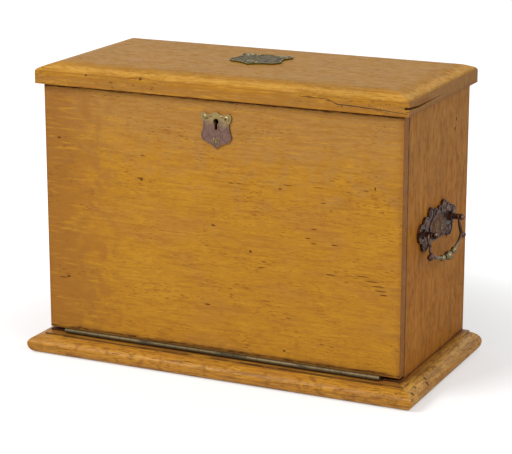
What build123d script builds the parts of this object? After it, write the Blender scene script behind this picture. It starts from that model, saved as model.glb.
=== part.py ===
from build123d import *
import os

# Upright writing box: a case on a moulded plinth, with a hinged lid and a hinged fall front.
# Millimetres. The origin is under the middle of the case, on the table; the front faces -Y, +Z is up.

# Clearances
GAP = 0.3           # between pieces that move past each other
FIT = 0.05          # radial room of a pin in its bore, and of a screw in its hole
SLIDE_IN = 0.1      # room round a piece that is let into a recess

# Case
CASE_W = 360.0      # outside width, and the width of the fall front
CASE_D = 171.5      # outside depth, with the fall front shut
CASE_H = 243.0      # from the top of the plinth to the underside of the lid
SIDE_T = 10.0
BACK_T = 9.0
BOTTOM_T = 8.0
HOUSING = 5.0       # depth of the housings and rebates in the side panels
EASED = 0.8         # radius of the eased edges

# Plinth: a board with mitred mouldings round its front and sides, each with a flat fillet, a quirk
# and an ovolo that tucks under at the floor
PLINTH_H = 18.5
OVER_FRONT = 21.0
OVER_LEFT = 14.5    # the case stands a little to the left on its plinth
OVER_RIGHT = 19.5
RAIL_W = 36.0       # from the nose of the moulding inwards
NOSE_Z = 9.5
OVOLO_W = 13.0
UNDERCUT = 7.5
QUIRK = 1.5

# Lid: a board with a swept moulding all round and an open shake in its right-hand end
LID_T = 19.5
LID_OVER = 6.0
LID_OVER_BACK = 3.6
LID_GAP = 0.3       # between the lid and the top of the case
LID_EDGE = 13.2     # height of the square edge before its arris is rounded
LID_SWEEP = 24.0    # width of the moulding
LID_NOSE_R = 3.8
SHAKE_L = 91.0      # the shake runs back from the front corner
SHAKE_DEPTH = 4.0
SHAKE_Z = 6.4       # above the underside of the lid
SHAKE_OPEN = 2.2

# Fall front
FALL_T = 11.5
FALL_TOP_GAP = 1.5
STRIP_T = 1.9       # packing strip under the continuous hinge
STRIP_BACK = 0.6    # how far the strip stands behind the front face
LEATHER_T = 0.8
LEATHER_SINK = 1.0  # depth of the recess for the leather
LEATHER_SIDE = 25.0
LEATHER_FOOT = 20.0
LEATHER_HEAD = 52.0

# Continuous hinge of the fall front
LEAF_T = 1.0
LEAF_PLAY = 0.1     # between the two closed leaves
PIANO_L = 324.0
PIANO_R = 2.25
PIANO_PIN_R = 0.9
PIANO_OUT = 0.1     # from the front face to the knuckle
PIANO_KNUCKLES = 27
PIANO_SCREWS = 7
KNUCKLE_PLAY = 0.3  # end play between two knuckles

# Butt hinges of the lid
BUTT_X = 112.0      # from the middle of the case to the middle of a hinge
BUTT_L = 38.0
BUTT_R = 2.5
BUTT_PIN_R = 1.1
BUTT_LEAF_T = 1.2
BUTT_LEAF_IN = 8.0  # how far a leaf lies in over the back board
BUTT_PROUD = 0.6    # from the back edge of the lid to the hinge pin
BUTT_KNUCKLES = 3
BUTT_SCREWS = 3

# Lock in the fall front, and its link plate in the lid
LOCK_W = 50.0
LOCK_H = 34.0
LOCK_T = 9.0
LOCK_WALL = 1.4
LOCK_EAR = 6.0      # the back plate runs past the lock case on each side by this
SELVEDGE_T = 1.6
LUG_X = 8.5
LUG_T = 1.8
LUG_W = 5.0
LUG_L = 9.0
LUG_PLAY = 0.8
LUG_HOLE_UP = 3.4   # from the tip of a lug to the middle of its hole
LUG_BACK = 3.3      # from the inner face of the fall to the middle of a lug
PRONG_R = 1.3
PRONG_L = 5.5
PRONG_SHORT = 1.1   # gap from a prong to its lug when unlocked
FINGER_W = 3.0
BOLT_H = 4.5
BOLT_T = 4.7
BOLT_DOWN = 1.2     # from the tip of a lug down to the bolt's bar
KEYHOLE_DOWN = 20.7  # from the underside of the lid to the keyhole's round
KEYHOLE_R = 2.75
KEYHOLE_SLOT = 3.0
KEYHOLE_FOOT = 7.6
DRILL_PIN_R = 0.9
LINK_W = 44.0
LINK_T = 1.2
LINK_D = 9.0

# Escutcheon and lid plaque
SHIELD_W = 30.4
SHIELD_H = 34.0
SHIELD_T = 1.3
SHIELD_DOWN = 12.2  # from the underside of the lid to the top of the escutcheon
PLAQUE_W = 52.0
PLAQUE_L = 52.0     # from its top, toward the back, to its point
PLAQUE_X = -1.5
PLAQUE_Y = 7.0      # its middle stands behind the middle of the case
PLAQUE_T = 1.2
TACK_R = 0.8
TACK_HEAD_R = 1.4
TACK_L = 6.0

# Cast bail handles
HANDLE_Y = -1.0     # middle of the handle along the side panel
HANDLE_Z = 144.5
PLATE_W = 98.0
PLATE_T = 1.8
RELIEF_T = 0.9      # raised middle of the plate
PIVOT_HALF = 36.0
PIVOT_OUT = 8.0    # from the side panel to the pivot
POST_R = 2.7
POST_BASE_R = 4.6
POST_BASE_T = 2.2
SHANK_R = 2.0
FINIAL_R = 2.9
FINIAL_OUT = 4.9    # from the pivot to the middle of the ball
NUT_W = 8.0
NUT_T = 3.0
NUT_SINK = 3.6
BAIL_R = 1.5
BAIL_HANG = 11.0    # degrees that the bail hangs out from the side
BAIL_TIP = 2.6      # from the middle of a post to the end of the bail's pin
BAIL_DROP = 28.0
BIG_BEAD_R = 4.3
BEAD_R = 3.1
BEAD_Y = 15.2
COLLAR_R = 2.5
COLLAR_Y = 8.6
COLLAR_L = 1.6
KNOB_R = 3.0

# Letter rack; its depth is what the case leaves behind the ink tray
RACK_CLEAR = 6.7    # between the ink tray and the front of the rack
RACK_END_T = 6.0
RACK_FRONT_H = 74.0
RACK_BACK_H = 206.0
RACK_POCKETS = 4
DIVIDER_T = 4.0
DIVIDER_GROOVE = 1.5
DIP_W = 150.0       # hollow in the middle of each divider's top
DIP_D = 9.0

# Ink tray and bottles
TRAY_FRONT_GAP = 4.0
TRAY_D = 50.0
TRAY_H = 24.0
PEN_L = 200.0
PEN_R = 18.0
PEN_DEEP = 11.0
BOTTLE_X = 138.0
BOTTLE_W = 36.0
BOTTLE_H = 40.0
BOTTLE_SINK = 16.0
BOTTLE_WALL = 4.0
BOTTLE_CORNER = 4.0
NECK_R = 11.0
NECK_BORE_R = 7.5
NECK_H = 5.0
COLLAR_WALL = 1.6
CAP_T = 3.0
DOME_H = 5.5
CAP_HINGE_OUT = 15.6  # from the middle of the bottle back to the cap's hinge pin
CAP_PIN_R = 0.8
CAP_KNUCKLE_R = 2.0
CAP_KNUCKLE_L = 4.0
CAP_EAR_L = 2.4

# Plinth screws
PLINTH_SCREW_R = 1.75
PLINTH_SCREW_HEAD_R = 3.5
PLINTH_SCREW_L = 24.0
PLINTH_SCREW_SINK = 1.0
PLINTH_SCREW_IN = 20.0
PLINTH_SCREWS = 4   # in each of two rows
SMALL_SCREW_R = 0.9
SMALL_HEAD_R = 1.9
SMALL_SCREW_L = 7.0

# Levels and faces that several pieces share
HALF_W = CASE_W / 2
FRONT = -CASE_D / 2
BACK = CASE_D / 2
INNER_FRONT = FRONT + FALL_T
CASE_TOP = PLINTH_H + CASE_H - LID_GAP
LID_Z = PLINTH_H + CASE_H
LID_TOP = LID_Z + LID_T
LID_FRONT = FRONT - LID_OVER
LID_BACK = BACK + LID_OVER_BACK
FLOOR_Z = PLINTH_H + BOTTOM_T
STRIP_TOP = PLINTH_H + STRIP_T
FALL_FOOT = STRIP_TOP + 2 * LEAF_T + LEAF_PLAY
FALL_TOP = LID_Z - FALL_TOP_GAP
INNER_HALF = HALF_W - SIDE_T
BACK_INNER = BACK - BACK_T
KEY_Z = LID_Z - KEYHOLE_DOWN
LUG_Y = INNER_FRONT - LUG_BACK
LUG_HOLE_Z = LID_Z - LUG_L + LUG_HOLE_UP
FALL_AXIS_Y = FRONT - PIANO_R - PIANO_OUT
FALL_AXIS_Z = STRIP_TOP + LEAF_T + LEAF_PLAY / 2
LID_AXIS_Y = LID_BACK + BUTT_PROUD
LID_AXIS_Z = CASE_TOP + LID_GAP / 2
TRAY_FRONT = INNER_FRONT + TRAY_FRONT_GAP
TRAY_Y = TRAY_FRONT + TRAY_D / 2
RACK_REAR = BACK_INNER - GAP
RACK_FRONT = TRAY_FRONT + TRAY_D + RACK_CLEAR
RACK_D = RACK_REAR - RACK_FRONT


def block(x, y, z):
    """A box from three (low, high) pairs."""
    size = [high - low for low, high in (x, y, z)]
    middle = [(high + low) / 2 for low, high in (x, y, z)]
    return Pos(*middle) * Box(*size)


def rod(start, end, radius):
    """A round bar from start to end."""
    run = Vector(*end) - Vector(*start)
    plane = Plane(origin=start, z_dir=run)
    return extrude(plane * Circle(radius), run.length)


def extrude_along_x(face, x_low, x_high):
    """A profile drawn as (y, z), run along X."""
    return extrude(Plane.YZ.offset(x_low) * face, x_high - x_low)


def extrude_along_y(face, y_low, y_high):
    """A profile drawn as (x, z), run along Y."""
    return extrude(Plane.XZ.offset(-y_low) * face, y_low - y_high)


def polygon(*points):
    return make_face(Polyline(*points, close=True))


def screw(at, out, radius=SMALL_SCREW_R, head=SMALL_HEAD_R, length=SMALL_SCREW_L, hole=False):
    """A slotted countersunk screw with its head's face at a point, or the hole that takes it."""
    room = FIT if hole else 0
    sink = head - radius
    profile = [(0, 0), (head + room, 0), (radius + room, -sink), (radius + room, -length - room)]
    body = revolve(Plane.XZ * polygon(*profile, (0, -length - room)), Axis.Z)
    if not hole:
        body -= Pos(0, 0, 0) * Box(2 * head, head * 0.3, sink * 0.7)
    return Plane(origin=at, z_dir=out) * body


def tack(at, out, hole=False):
    """A round-headed brass pin standing on a face."""
    room = FIT if hole else 0
    shank = Pos(0, 0, -(TACK_L + room) / 2) * Cylinder(TACK_R + room, TACK_L + room)
    if not hole:
        dome = Sphere(TACK_HEAD_R) & Pos(0, 0, TACK_HEAD_R / 2) * Box(4 * TACK_R, 4 * TACK_R, TACK_HEAD_R)
        shank += Pos(0, 0, TACK_HEAD_R * 0.2) * Cylinder(TACK_HEAD_R, TACK_HEAD_R * 0.4) + dome
    return Plane(origin=at, z_dir=out) * shank


def cut_all(body, cutters):
    for cutter in cutters:
        body -= cutter
    return body


def spread(count, low, high):
    """Evenly spaced places, half a step in from each end."""
    step = (high - low) / count
    return [low + step * (index + 0.5) for index in range(count)]


def shield(width, height):
    """A shield with two ears, a waist and a point, its top middle at the origin and its point at -Y."""
    w, h = width / 2, height
    right = [
        ThreePointArc((0, 0), (0.13 * w, -0.013 * h), (0.2 * w, -0.045 * h)),
        ThreePointArc((0.2 * w, -0.045 * h), (0.46 * w, -0.07 * h), (0.72 * w, -0.03 * h)),
        ThreePointArc((0.72 * w, -0.03 * h), (0.92 * w, -0.045 * h), (0.99 * w, -0.13 * h)),
        ThreePointArc((0.99 * w, -0.13 * h), (0.96 * w, -0.22 * h), (0.84 * w, -0.3 * h)),
        ThreePointArc((0.84 * w, -0.3 * h), (0.88 * w, -0.47 * h), (w, -0.63 * h)),
        ThreePointArc((w, -0.63 * h), (0.9 * w, -0.76 * h), (0.62 * w, -0.83 * h)),
        ThreePointArc((0.62 * w, -0.83 * h), (0.26 * w, -0.9 * h), (0, -h)),
    ]
    left = [mirror(edge, about=Plane.YZ) for edge in right]
    return make_face(right + left)


def keyhole(depth):
    """The keyhole's round and slot, drawn as (x, z) about the middle of the round."""
    slot = Pos(0, -KEYHOLE_FOOT / 2) * Rectangle(KEYHOLE_SLOT, KEYHOLE_FOOT)
    return Pos(0, 0, KEY_Z) * extrude_along_y(Circle(KEYHOLE_R) + slot, FRONT - depth, FRONT + depth)


def plinth_rails():
    """Three mitred mouldings, from one profile drawn inwards from its nose, round a plain board."""
    left, right, front = -HALF_W - OVER_LEFT, HALF_W + OVER_RIGHT, FRONT - OVER_FRONT
    ovolo_h = PLINTH_H - QUIRK - NOSE_Z
    under = EllipticalCenterArc((UNDERCUT, NOSE_Z), UNDERCUT, NOSE_Z, 180, arc_size=90)
    over = EllipticalCenterArc((OVOLO_W, NOSE_Z), OVOLO_W, ovolo_h, 90, arc_size=90)
    flat = [(OVOLO_W, PLINTH_H - QUIRK), (OVOLO_W, PLINTH_H), (RAIL_W, PLINTH_H), (RAIL_W, 0), (UNDERCUT, 0)]
    profile = make_face([under, over, Polyline(*flat)])
    flipped = mirror(profile, about=Plane.YZ)
    inner = (left + RAIL_W, right - RAIL_W)
    corners = [(left, front), (inner[0], front + RAIL_W), (inner[1], front + RAIL_W), (right, front)]
    ends = [(left, BACK), (inner[0], BACK), (inner[1], BACK), (right, BACK)]
    plan_front = extrude(polygon(*corners), PLINTH_H)
    plan_left = extrude(polygon(corners[0], corners[1], ends[1], ends[0]), PLINTH_H)
    plan_right = extrude(polygon(corners[3], corners[2], ends[2], ends[3]), PLINTH_H)
    along = extrude_along_x(Pos(front, 0) * profile, left, right)
    return {
        "plinth_front": along & plan_front,
        "plinth_left": extrude_along_y(Pos(left, 0) * profile, front, BACK) & plan_left,
        "plinth_right": extrude_along_y(Pos(right, 0) * flipped, front, BACK) & plan_right,
        "plinth_board": block(inner, (front + RAIL_W, BACK), (0, PLINTH_H)),
    }


def plinth_screw_places():
    rows = (INNER_FRONT + PLINTH_SCREW_IN, BACK_INNER - PLINTH_SCREW_IN)
    return [(x, y) for x in spread(PLINTH_SCREWS, -INNER_HALF, INNER_HALF) for y in rows]


def handle_post_places():
    return [HANDLE_Y - PIVOT_HALF, HANDLE_Y + PIVOT_HALF]


def side_panel():
    """The right-hand side panel: housed for the bottom, rebated for the back, bored for the handle."""
    panel = block((INNER_HALF, HALF_W), (INNER_FRONT + GAP, BACK), (PLINTH_H, CASE_TOP))
    rear = panel.edges().filter_by(Axis.Z).sort_by(lambda edge: edge.center().X + edge.center().Y)[-1]
    panel = fillet(rear, EASED)
    inside = (INNER_HALF - 1, INNER_HALF + HOUSING)
    panel -= block(inside, (BACK_INNER, BACK + 1), (0, CASE_TOP + 1))
    panel -= block(inside, (FRONT, BACK_INNER), (0, FLOOR_Z))
    for y in handle_post_places():
        panel -= rod((INNER_HALF - 1, y, HANDLE_Z), (HALF_W + 1, y, HANDLE_Z), SHANK_R + FIT)
        panel -= rod((INNER_HALF - 1, y, HANDLE_Z), (INNER_HALF + NUT_SINK, y, HANDLE_Z), NUT_W * 0.75)
    return panel


def hinge_leaf(middle, length, count, first, axis, radius, pin_radius, inner_y, z_low, z_high):
    """A flat leaf with every second knuckle, starting at knuckle number first."""
    axis_y, axis_z = axis
    step = length / count
    start = middle - length / 2
    inwards = 1 if inner_y > axis_y else -1
    edge_y = axis_y + inwards * (radius + GAP)
    leaf = block((start, start + length), sorted((edge_y, inner_y)), (z_low, z_high))
    bore = rod((start - 1, axis_y, axis_z), (start + length + 1, axis_y, axis_z), pin_radius + FIT)
    for index in range(first, count, 2):
        low = start + index * step + (KNUCKLE_PLAY / 2 if index > 0 else 0)
        high = start + (index + 1) * step - (KNUCKLE_PLAY / 2 if index < count - 1 else 0)
        leaf += rod((low, axis_y, axis_z), (high, axis_y, axis_z), radius)
        leaf += block((low, high), sorted((axis_y, edge_y)), (z_low, z_high))
    return leaf - bore


def piano_screw_places():
    return [(x, INNER_FRONT - FALL_T * 0.38) for x in spread(PIANO_SCREWS, -PIANO_L / 2, PIANO_L / 2)]


def fall_hinge():
    """The continuous hinge at the foot of the fall front, its pin and its screws."""
    axis = (FALL_AXIS_Y, FALL_AXIS_Z)
    common = (0, PIANO_L, PIANO_KNUCKLES)
    rest = (axis, PIANO_R, PIANO_PIN_R, INNER_FRONT)
    base = hinge_leaf(*common, 0, *rest, STRIP_TOP, STRIP_TOP + LEAF_T)
    fall = hinge_leaf(*common, 1, *rest, FALL_FOOT - LEAF_T, FALL_FOOT)
    places = piano_screw_places()
    down = [((x, y, STRIP_TOP + LEAF_T), (0, 0, 1)) for x, y in places]
    up = [((x, y, FALL_FOOT - LEAF_T), (0, 0, -1)) for x, y in places]
    pin = rod((-PIANO_L / 2, *axis), (PIANO_L / 2, *axis), PIANO_PIN_R)
    return {
        "fall_hinge_base_leaf": cut_all(base, [screw(*at, hole=True) for at in down]),
        "fall_hinge_fall_leaf": cut_all(fall, [screw(*at, hole=True) for at in up]),
        "fall_hinge_pin": pin,
        "fall_hinge_base_screws": Compound([screw(*at) for at in down]),
        "fall_hinge_fall_screws": Compound([screw(*at) for at in up]),
    }


def butt_screw_places(middle):
    y = BACK - BUTT_LEAF_IN * 0.5
    return [(x, y) for x in spread(BUTT_SCREWS, middle - BUTT_L / 2, middle + BUTT_L / 2)]


def lid_hinges():
    """Two butt hinges, each leaf let in flush, with the knuckles behind the lid."""
    axis = (LID_AXIS_Y, LID_AXIS_Z)
    inner = BACK - BUTT_LEAF_IN
    low_z, high_z = LID_AXIS_Z - LEAF_PLAY / 2, LID_AXIS_Z + LEAF_PLAY / 2
    case, lid, pins, down, up = [], [], [], [], []
    for middle in (-BUTT_X, BUTT_X):
        shared = (middle, BUTT_L, BUTT_KNUCKLES)
        rest = (axis, BUTT_R, BUTT_PIN_R, inner)
        case.append(hinge_leaf(*shared, 0, *rest, low_z - BUTT_LEAF_T, low_z))
        lid.append(hinge_leaf(*shared, 1, *rest, high_z, high_z + BUTT_LEAF_T))
        pins.append(rod((middle - BUTT_L / 2, *axis), (middle + BUTT_L / 2, *axis), BUTT_PIN_R))
        down += [((x, y, low_z), (0, 0, 1)) for x, y in butt_screw_places(middle)]
        up += [((x, y, high_z), (0, 0, -1)) for x, y in butt_screw_places(middle)]
    return {
        "lid_hinge_case_leaves": cut_all(Compound(case), [screw(*at, hole=True) for at in down]),
        "lid_hinge_lid_leaves": cut_all(Compound(lid), [screw(*at, hole=True) for at in up]),
        "lid_hinge_pins": Compound(pins),
        "lid_hinge_case_screws": Compound([screw(*at) for at in down]),
        "lid_hinge_lid_screws": Compound([screw(*at) for at in up]),
    }


def case_boards():
    """Side panels, back board, bottom board and the hinge's packing strip."""
    right = side_panel()
    back_half = INNER_HALF + HOUSING
    back = block((-back_half, back_half), (BACK_INNER, BACK), (PLINTH_H, CASE_TOP))
    leaf_floor = LID_AXIS_Z - LEAF_PLAY / 2 - BUTT_LEAF_T
    for middle in (-BUTT_X, BUTT_X):
        span = (middle - BUTT_L / 2 - SLIDE_IN, middle + BUTT_L / 2 + SLIDE_IN)
        back -= block(span, (BACK - BUTT_LEAF_IN - SLIDE_IN, BACK + 1), (leaf_floor, CASE_TOP + 1))
        for x, y in butt_screw_places(middle):
            back -= screw((x, y, leaf_floor + BUTT_LEAF_T), (0, 0, 1), hole=True)
    bottom = block((-back_half, back_half), (INNER_FRONT + GAP, BACK_INNER), (PLINTH_H, FLOOR_Z))
    strip = block((-HALF_W, HALF_W), (FRONT + STRIP_BACK, INNER_FRONT), (PLINTH_H, STRIP_TOP))
    for x, y in piano_screw_places():
        strip -= screw((x, y, STRIP_TOP + LEAF_T), (0, 0, 1), hole=True)
    return {
        "side_right": right,
        "side_left": mirror(right, about=Plane.YZ),
        "back_board": back,
        "case_bottom": bottom,
        "hinge_strip": strip,
    }


def plinth_parts():
    """The plinth, screwed up into the case's bottom board."""
    rails = plinth_rails()
    places = plinth_screw_places()
    heads = [((x, y, PLINTH_SCREW_SINK), (0, 0, -1)) for x, y in places]
    length = PLINTH_SCREW_L - PLINTH_SCREW_SINK
    kind = {"radius": PLINTH_SCREW_R, "head": PLINTH_SCREW_HEAD_R, "length": length}
    holes = [screw(*at, hole=True, **kind) for at in heads]
    wells = [rod((x, y, -1), (x, y, PLINTH_SCREW_SINK), PLINTH_SCREW_HEAD_R + FIT) for x, y in places]
    rails["plinth_board"] = cut_all(rails["plinth_board"], holes + wells)
    for x, y in piano_screw_places():
        rails["plinth_front"] -= screw((x, y, STRIP_TOP + LEAF_T), (0, 0, 1), hole=True)
    rails["plinth_screws"] = Compound([screw(*at, **kind) for at in heads])
    return rails, holes


def fall_board():
    """The fall front: eased edges, recesses for leather and lock, and a keyhole."""
    board = block((-HALF_W, HALF_W), (FRONT, INNER_FRONT), (FALL_FOOT, FALL_TOP))
    board = fillet(board.faces().sort_by(Axis.Y)[0].edges(), EASED)
    leather_x = HALF_W - LEATHER_SIDE
    recess_z = (FALL_FOOT + LEATHER_FOOT, FALL_TOP - LEATHER_HEAD)
    board -= block((-leather_x, leather_x), (INNER_FRONT - LEATHER_SINK, INNER_FRONT + 1), recess_z)
    inside = LOCK_W / 2 + SLIDE_IN
    plate = inside + LOCK_EAR
    up = (FALL_TOP - LOCK_H - SLIDE_IN, FALL_TOP + 1)
    board -= block((-inside, inside), (INNER_FRONT - LOCK_T - SLIDE_IN, INNER_FRONT + 1), up)
    board -= block((-plate, plate), (INNER_FRONT - LOCK_WALL, INNER_FRONT + 1), up)
    board -= keyhole(FALL_T)
    board = cut_all(board, [screw(*at, hole=True) for at in lock_screw_places()])
    board = cut_all(board, [tack(*at, hole=True) for at in escutcheon_tack_places()])
    for x, y in piano_screw_places():
        board -= screw((x, y, FALL_FOOT - LEAF_T), (0, 0, -1), hole=True)
    return board


def writing_leather():
    """The skin that lies in the recess of the fall's inner face."""
    leather_x = HALF_W - LEATHER_SIDE - SLIDE_IN
    z = (FALL_FOOT + LEATHER_FOOT + SLIDE_IN, FALL_TOP - LEATHER_HEAD - SLIDE_IN)
    floor = INNER_FRONT - LEATHER_SINK
    return block((-leather_x, leather_x), (floor, floor + LEATHER_T), z)


def lock_screw_places():
    x = LOCK_W / 2 + LOCK_EAR / 2
    levels = (FALL_TOP - LOCK_H * 0.2, FALL_TOP - LOCK_H * 0.8)
    return [((side * x, INNER_FRONT, z), (0, 1, 0)) for side in (-1, 1) for z in levels]


def lock_parts():
    """A box lock: case, back plate and drill pin, with a bolt whose prongs pass through two lugs."""
    half, top = LOCK_W / 2, FALL_TOP
    foot, face = top - LOCK_H, INNER_FRONT - LOCK_T
    case = block((-half, half), (face, INNER_FRONT), (foot, top))
    room = (face - 1, INNER_FRONT - LOCK_WALL)
    case -= block((LOCK_WALL - half, half - LOCK_WALL), room, (foot + LOCK_WALL, top - SELVEDGE_T))
    plate = half + LOCK_EAR
    case += block((-plate, plate), (INNER_FRONT - LOCK_WALL, INNER_FRONT), (foot, top))
    lug_room = LUG_T / 2 + LUG_PLAY
    for x in (-LUG_X, LUG_X):
        notch_y = (LUG_Y - LUG_W / 2 - LUG_PLAY, INNER_FRONT + 1)
        case -= block((x - lug_room, x + lug_room), notch_y, (LID_Z - LUG_L - LUG_PLAY, top + 1))
    case += rod((0, INNER_FRONT - LOCK_WALL / 2, KEY_Z), (0, face + 1, KEY_Z), DRILL_PIN_R)
    case = cut_all(case, [screw(*at, hole=True) for at in lock_screw_places()])
    bar_top = LID_Z - LUG_L - BOLT_DOWN
    bar_y = (INNER_FRONT - LOCK_WALL - GAP - BOLT_T, INNER_FRONT - LOCK_WALL - GAP)
    fingers = []
    for lug in (-LUG_X, LUG_X):
        tip = lug - LUG_T / 2 - PRONG_SHORT
        fingers.append((tip - PRONG_L - FINGER_W, tip - PRONG_L, tip))
    bolt = block((fingers[0][0], fingers[1][1]), bar_y, (bar_top - BOLT_H, bar_top))
    for low, high, tip in fingers:
        bolt += block((low, high), bar_y, (bar_top - BOLT_H, LUG_HOLE_Z + PRONG_R))
        bolt += rod((high - 0.5, LUG_Y, LUG_HOLE_Z), (tip, LUG_Y, LUG_HOLE_Z), PRONG_R)
    return {
        "lock_case": case,
        "lock_bolt": bolt,
        "lock_screws": Compound([screw(*at) for at in lock_screw_places()]),
    }


def link_screw_places():
    return [((side * LINK_W * 0.38, LUG_Y, LID_Z), (0, 0, -1)) for side in (-1, 1)]


def link_plate():
    """The lid's link plate, let in flush, with two lugs bored for the bolt."""
    across = (LUG_Y - LINK_D / 2, LUG_Y + LINK_D / 2)
    plate = block((-LINK_W / 2, LINK_W / 2), across, (LID_Z, LID_Z + LINK_T))
    lug_y = (LUG_Y - LUG_W / 2, LUG_Y + LUG_W / 2)
    for x in (-LUG_X, LUG_X):
        lug = block((x - LUG_T / 2, x + LUG_T / 2), lug_y, (LID_Z - LUG_L, LID_Z))
        foot = lug.edges().filter_by(Axis.X).sort_by(Axis.Z)[:2]
        plate += fillet(foot, LUG_W * 0.3)
        plate -= rod((x - LUG_T, LUG_Y, LUG_HOLE_Z), (x + LUG_T, LUG_Y, LUG_HOLE_Z), PRONG_R + GAP)
    return cut_all(plate, [screw(*at, hole=True) for at in link_screw_places()])


def swept_outline(low, high):
    """The lid's section between two edges: square foot, rounded arris, long sweep up to the flat."""
    left = TangentArc((low + LID_SWEEP, LID_TOP), (low, LID_Z + LID_EDGE), tangent=(-1, 0))
    right = TangentArc((high - LID_SWEEP, LID_TOP), (high, LID_Z + LID_EDGE), tangent=(1, 0))
    flat = Line((low + LID_SWEEP, LID_TOP), (high - LID_SWEEP, LID_TOP))
    foot = Polyline((low, LID_Z + LID_EDGE), (low, LID_Z), (high, LID_Z), (high, LID_Z + LID_EDGE))
    face = make_face([left, flat, right, foot])
    arrises = [v for v in face.vertices() if abs(v.Y - LID_Z - LID_EDGE) < 0.01]
    return fillet(arrises, LID_NOSE_R)


def lid_board():
    """The lid: two crossed sections give the mitred moulding; then the shake and the hinge recesses."""
    half = HALF_W + LID_OVER
    board = extrude_along_x(swept_outline(LID_FRONT, LID_BACK), -half, half)
    board &= extrude_along_y(swept_outline(-half, half), LID_FRONT, LID_BACK)
    shake_end = LID_FRONT + SHAKE_L
    middle = LID_Z + SHAKE_Z
    shake = [
        (LID_FRONT - 1, middle + SHAKE_OPEN),
        (LID_FRONT + SHAKE_L * 0.25, middle),
        (shake_end, middle - SHAKE_OPEN * 0.3),
        (LID_FRONT + SHAKE_L * 0.25, middle - SHAKE_OPEN * 0.8),
        (LID_FRONT - 1, middle),
    ]
    board -= extrude_along_x(polygon(*shake), half - SHAKE_DEPTH, half + 1)
    leaf_top = LID_AXIS_Z + LEAF_PLAY / 2 + BUTT_LEAF_T
    knuckle_top = LID_AXIS_Z + BUTT_R + GAP
    for x in (-BUTT_X, BUTT_X):
        span = (x - BUTT_L / 2 - SLIDE_IN, x + BUTT_L / 2 + SLIDE_IN)
        board -= block(span, (BACK - BUTT_LEAF_IN - SLIDE_IN, LID_BACK + 1), (LID_Z - 1, leaf_top))
        board -= block(span, (LID_AXIS_Y - BUTT_R - GAP, LID_BACK + 1), (LID_Z - 1, knuckle_top))
        for at in [((px, y, leaf_top - BUTT_LEAF_T), (0, 0, -1)) for px, y in butt_screw_places(x)]:
            board -= screw(*at, hole=True)
    link_half, link_d = LINK_W / 2 + SLIDE_IN, LINK_D / 2 + SLIDE_IN
    board -= block((-link_half, link_half), (LUG_Y - link_d, LUG_Y + link_d), (LID_Z - 1, LID_Z + LINK_T))
    board = cut_all(board, [screw(*at, hole=True) for at in link_screw_places()])
    return cut_all(board, [tack(*at, hole=True) for at in plaque_tack_places()])


def escutcheon_tack_places():
    """Tack places on the fall's face: in both ears and above the point."""
    top = LID_Z - SHIELD_DOWN
    ears = [(side * SHIELD_W * 0.345, top - SHIELD_H * 0.155) for side in (-1, 1)]
    return [((x, FRONT - SHIELD_T, z), (0, -1, 0)) for x, z in [*ears, (0, top - SHIELD_H * 0.82)]]


def escutcheon():
    """The shield keyhole plate on the fall front."""
    top = LID_Z - SHIELD_DOWN
    plate = extrude_along_y(Pos(0, top) * shield(SHIELD_W, SHIELD_H), FRONT - SHIELD_T, FRONT)
    plate -= keyhole(FALL_T)
    return cut_all(plate, [tack(*at, hole=True) for at in escutcheon_tack_places()])


def plaque_tack_places():
    """Tack places on the plaque: in both ears and above the point."""
    places = [(-0.345, 0.345), (0.345, 0.345), (0, -0.32)]
    top = LID_TOP + PLAQUE_T
    return [((PLAQUE_X + x * PLAQUE_W, PLAQUE_Y + y * PLAQUE_L, top), (0, 0, 1)) for x, y in places]


def lid_plaque():
    """The blank shield plate on the lid, its top toward the back and its point toward the front."""
    outline = Pos(PLAQUE_X, PLAQUE_Y + PLAQUE_L / 2) * shield(PLAQUE_W, PLAQUE_L)
    plate = Pos(0, 0, LID_TOP) * extrude(outline, PLAQUE_T)
    return cut_all(plate, [tack(*at, hole=True) for at in plaque_tack_places()])


def handle_plate():
    """The right-hand cast backplate: a lobed cartouche with a raised middle."""
    w = PLATE_W
    lobes = [(0.41, 0.01, 0.09), (0.32, -0.092, 0.087), (0.3, 0.07, 0.075), (0.173, 0.145, 0.062),
             (0.06, 0.12, 0.052), (0.18, -0.07, 0.07), (0.06, -0.078, 0.058)]
    outline = Rectangle(0.62 * w, 0.24 * w)
    for y, z, radius in lobes:
        outline += Pos(y * w, z * w) * Circle(radius * w)
        outline += Pos(-y * w, z * w) * Circle(radius * w)
    plate = extrude_along_x(outline, 0, PLATE_T)
    middle = Ellipse(0.2 * w, 0.105 * w)
    for y, z, radius in [(0, 0.105, 0.037), (0, -0.075, 0.04), (-0.452, 0.01, 0.028), (0.452, 0.01, 0.028)]:
        middle += Pos(y * w, z * w) * Circle(radius * w)
    plate += extrude_along_x(middle, PLATE_T, PLATE_T + RELIEF_T)
    plate = Pos(HALF_W, HANDLE_Y, HANDLE_Z) * plate
    for y in handle_post_places():
        plate -= rod((HALF_W - 1, y, HANDLE_Z), (HALF_W + PLATE_T + RELIEF_T + 1, y, HANDLE_Z), SHANK_R + FIT)
    return plate


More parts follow.
